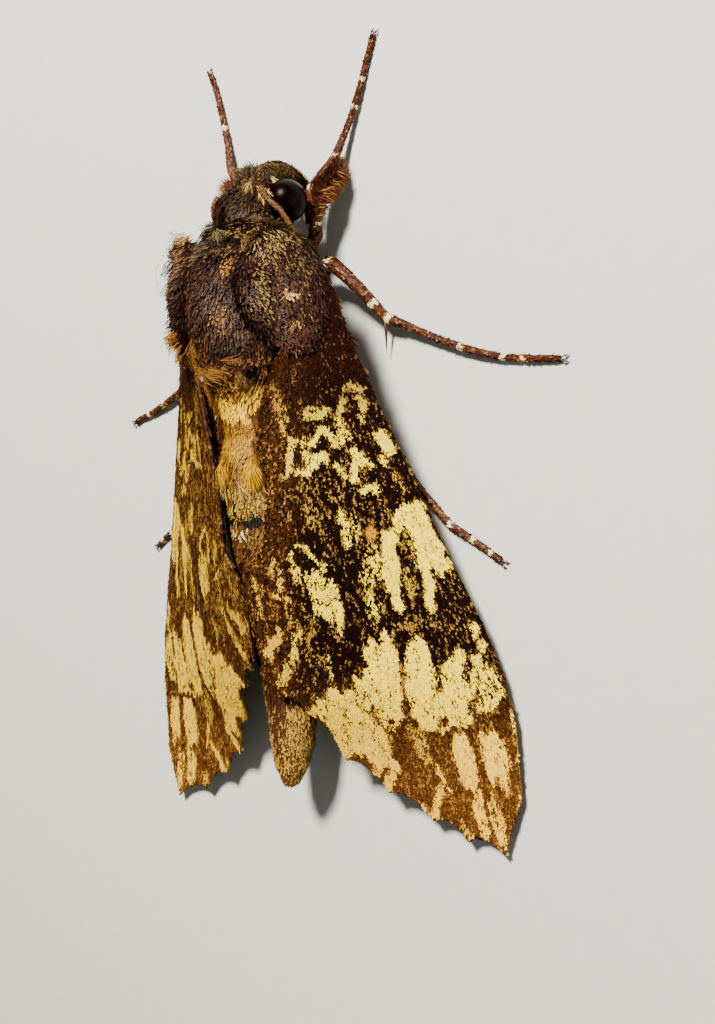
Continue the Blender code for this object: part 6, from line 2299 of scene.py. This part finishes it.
@dataclass
class Proboscis:
    """The coiled proboscis between the palps, ringed along its length."""

    centre: tuple = (0.0, 25.2, 1.6)
    turns: float = 1.4
    outer: float = 0.95
    pitch: float = 0.55
    radius: float = 0.24
    taper: float = 0.35
    ring_depth: float = 0.07
    steps: int = 150
    start: float = math.radians(100)

    def build(self, finish: bpy.types.Material) -> None:
        """Builds the coil.

        Args:
            finish: Its material.
        """
        share = np.linspace(0, 1, self.steps)
        angle = math.tau * self.turns * share + self.start
        reach = self.outer - self.pitch * self.turns * share
        path = [(self.centre[0], self.centre[1] + r * math.cos(a), self.centre[2] + r * math.sin(a))
                for a, r in zip(angle, reach)]
        radii = self.radius * (1 - self.taper * share) * (1 - self.ring_depth * (np.arange(self.steps) % 2))
        made = swept_tube("proboscis_coil", path, radii, self.steps, 3)
        place_model(made, finish, ("proboscis",))


@dataclass
class Studio:
    """The floor, the lights and the camera, which is turned with the moth as in the photo."""

    turn: float = math.radians(37)
    tilt: float = math.radians(5.0)
    roll: float = math.radians(-2.8)
    distance: float = 85.0
    focal_px: float = 1145.0
    target: tuple = (7.7, 0.0, 5.0)
    image: tuple = (715, 1024)
    sensor_mm: float = 36.0
    clip_m: float = 0.005
    floor_m: float = 3.0
    lit: tuple = (6.0, 3.0, 4.0)
    sky: str = "DEDBD4"
    sky_strength: float = 0.18

    def axes(self) -> tuple[Vector, Vector, Vector]:
        """Directions of the camera.

        Returns:
            Its right, its up and the way back to it.
        """
        back = Vector((math.sin(self.turn) * math.cos(self.tilt), math.sin(self.tilt),
                       math.cos(self.turn) * math.cos(self.tilt)))
        right = Vector((math.cos(self.turn), 0.0, -math.sin(self.turn)))
        up = back.cross(right)
        turned = right * math.cos(self.roll) + up * math.sin(self.roll)
        return turned, up * math.cos(self.roll) - right * math.sin(self.roll), back

    def world_point(self, place: Vector) -> Vector:
        """Turns a place in the moth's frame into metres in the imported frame."""
        return (place - Vector(SHIFT)) * MM

    def camera(self) -> None:
        """Sets up the camera."""
        right, up, back = self.axes()
        data = bpy.data.cameras.new("camera")
        data.sensor_fit = "VERTICAL"
        data.sensor_height = self.sensor_mm
        data.lens = self.focal_px / self.image[1] * data.sensor_height
        data.clip_start = self.clip_m
        made = bpy.data.objects.new("camera", data)
        place = Matrix.Translation(self.world_point(Vector(self.target) + back * self.distance))
        made.matrix_world = place @ Matrix((right, up, back)).transposed().to_4x4()
        bpy.context.scene.collection.objects.link(made)
        bpy.context.scene.camera = made

    def light(self, name: str, across: float, above: float, towards: float, size: float, power: float,
              colour: tuple) -> None:
        """Adds one soft lamp, placed from the camera's directions.

        Args:
            name: Its name.
            across: Millimetres to the camera's right.
            above: Millimetres up in the picture.
            towards: Millimetres from the moth towards the camera.
            size: Side of its square in millimetres.
            power: Its power in watts.
            colour: Its colour.
        """
        right, up, back = self.axes()
        target = Vector(self.lit)
        place = target + right * across + up * above + back * towards
        data = bpy.data.lights.new(name, "AREA")
        data.size = size * MM
        data.energy = power
        data.color = colour
        made = bpy.data.objects.new(name, data)
        made.location = self.world_point(place)
        made.rotation_euler = (target - place).to_track_quat("-Z", "Y").to_euler()
        bpy.context.scene.collection.objects.link(made)

    def floor(self, finish: bpy.types.Material) -> None:
        """Lays the floor.

        Args:
            finish: Its material.
        """
        bpy.ops.mesh.primitive_plane_add(size=self.floor_m, location=(0.0, 0.0, 0.0))
        made = bpy.context.object
        made.name = "floor"
        edit_all()
        bpy.ops.mesh.subdivide(number_cuts=3)
        bpy.ops.object.mode_set(mode="OBJECT")
        made.data.materials.append(finish)

    def build(self, finish: bpy.types.Material) -> None:
        """Sets up floor, light and camera.

        Args:
            finish: The floor's material.
        """
        self.floor(finish)
        self.light("key", across=-150.0, above=210.0, towards=260.0, size=60.0, power=5.8,
                   colour=(1.0, 0.92, 0.78))
        self.light("fill", across=260.0, above=-60.0, towards=240.0, size=220.0, power=0.5,
                   colour=(1.0, 0.97, 0.92))
        world = bpy.data.worlds.new("studio")
        world.use_nodes = True
        sky = world.node_tree.nodes["Background"]
        sky.inputs["Color"].default_value = hex_linear(self.sky)
        sky.inputs["Strength"].default_value = self.sky_strength
        bpy.context.scene.world = world
        self.camera()


def build_wings(scales: bpy.types.Material, membrane: bpy.types.Material) -> None:
    """Builds the two forewings over the two hindwings.

    Args:
        scales: Material of the coats.
        membrane: Material of the skins.
    """
    right = WingFan(FOREWING_LINES, first_tooth=4, scallop=0.75, drop=0.0)
    left = WingFan(left_forewing_lines(), first_tooth=4, scallop=0.75, drop=0.0)
    hind = WingFan(HINDWING_LINES, first_tooth=1, scallop=0.35, drop=1.25)
    fore = {"pattern": right, "slot": "forewing_scales", "under_density": 7.0, "parts": 2}
    hidden = {"fan": hind, "pattern": hind, "slot": "hindwing_scales", "density": 14.0,
              "under_density": 12.0, "scale_size": (0.5, 0.32), "splits": 5, "stations": 90}
    wings = [
        (Wing("forewing_right", Side.RIGHT, right, density=125.0, scale_size=(0.33, 0.105), seed=1, **fore),
         WingMarks()),
        (Wing("forewing_left", Side.LEFT, left, density=115.0, scale_size=(0.33, 0.11), seed=2, **fore),
         # The left forewing is painted warmer all over than the right, as painted light for its steeper,
         # less directly lit face. It also has a larger ground share of cream
         WingMarks(painted_light_warmth=0.6, ground=0.18)),
        (Wing("hindwing_right", Side.RIGHT, seed=3, **hidden), HindMarks()),
        (Wing("hindwing_left", Side.LEFT, seed=4, **hidden), HindMarks()),
    ]
    for wing, marks in wings:
        wing.skin(membrane, marks)
        for under in (False, True):
            wing.coat(scales, marks, under)
        wing.fringe(scales, marks)


def build_body(hair: bpy.types.Material, skin_finish: bpy.types.Material) -> None:
    """Builds the skin of the body and its coat.

    Args:
        hair: Material of the coat.
        skin_finish: Material of the skin.
    """
    body = Body()
    skin = body.skin(skin_finish)
    for name, span, count, slot in COAT_PIECES:
        body.hair(skin, name, span, count, hair, slot)
    body.standing(skin, hair)


def main() -> None:
    """Builds every piece of the moth and the studio round it, in order."""
    logging.basicConfig(level=logging.INFO, format="%(name)s: %(message)s")
    scales = ScaleFinish("chitin_wing_scales_grown").build()
    membrane = ScaleFinish("chitin_wing_membrane_dried", 0.6, fleck_mm=0.2, relief=0.2, gloss=0.1).build()
    hair = ScaleFinish("chitin_hair_scales_grown", 0.55, fleck_mm=0.1, relief=0.2, gloss=0.16).build()
    skin = ScaleFinish("chitin_skin_under_hair", 0.8, fleck_mm=0.3, relief=0.3, gloss=0.02).build()
    limb = ScaleFinish("chitin_limb_scales_grown", 0.5, fleck_mm=0.1, relief=0.2, gloss=0.2).build()
    horn = CuticleFinish("chitin_claw_tanned_dark", "4A2210", "140804").build()
    coil = CuticleFinish("chitin_proboscis_tanned", "7A3C18", "3A1408").build()
    build_wings(scales, membrane)
    build_body(hair, skin)
    Eyes().build(EyeFinish().build())
    for name in LEG_PATHS:
        Leg(name).build(limb, limb, horn)
    Feelers().build(limb, limb)
    Proboscis().build(coil)
    Studio().build(FloorFinish().build())


if __name__ == "__main__":
    main()
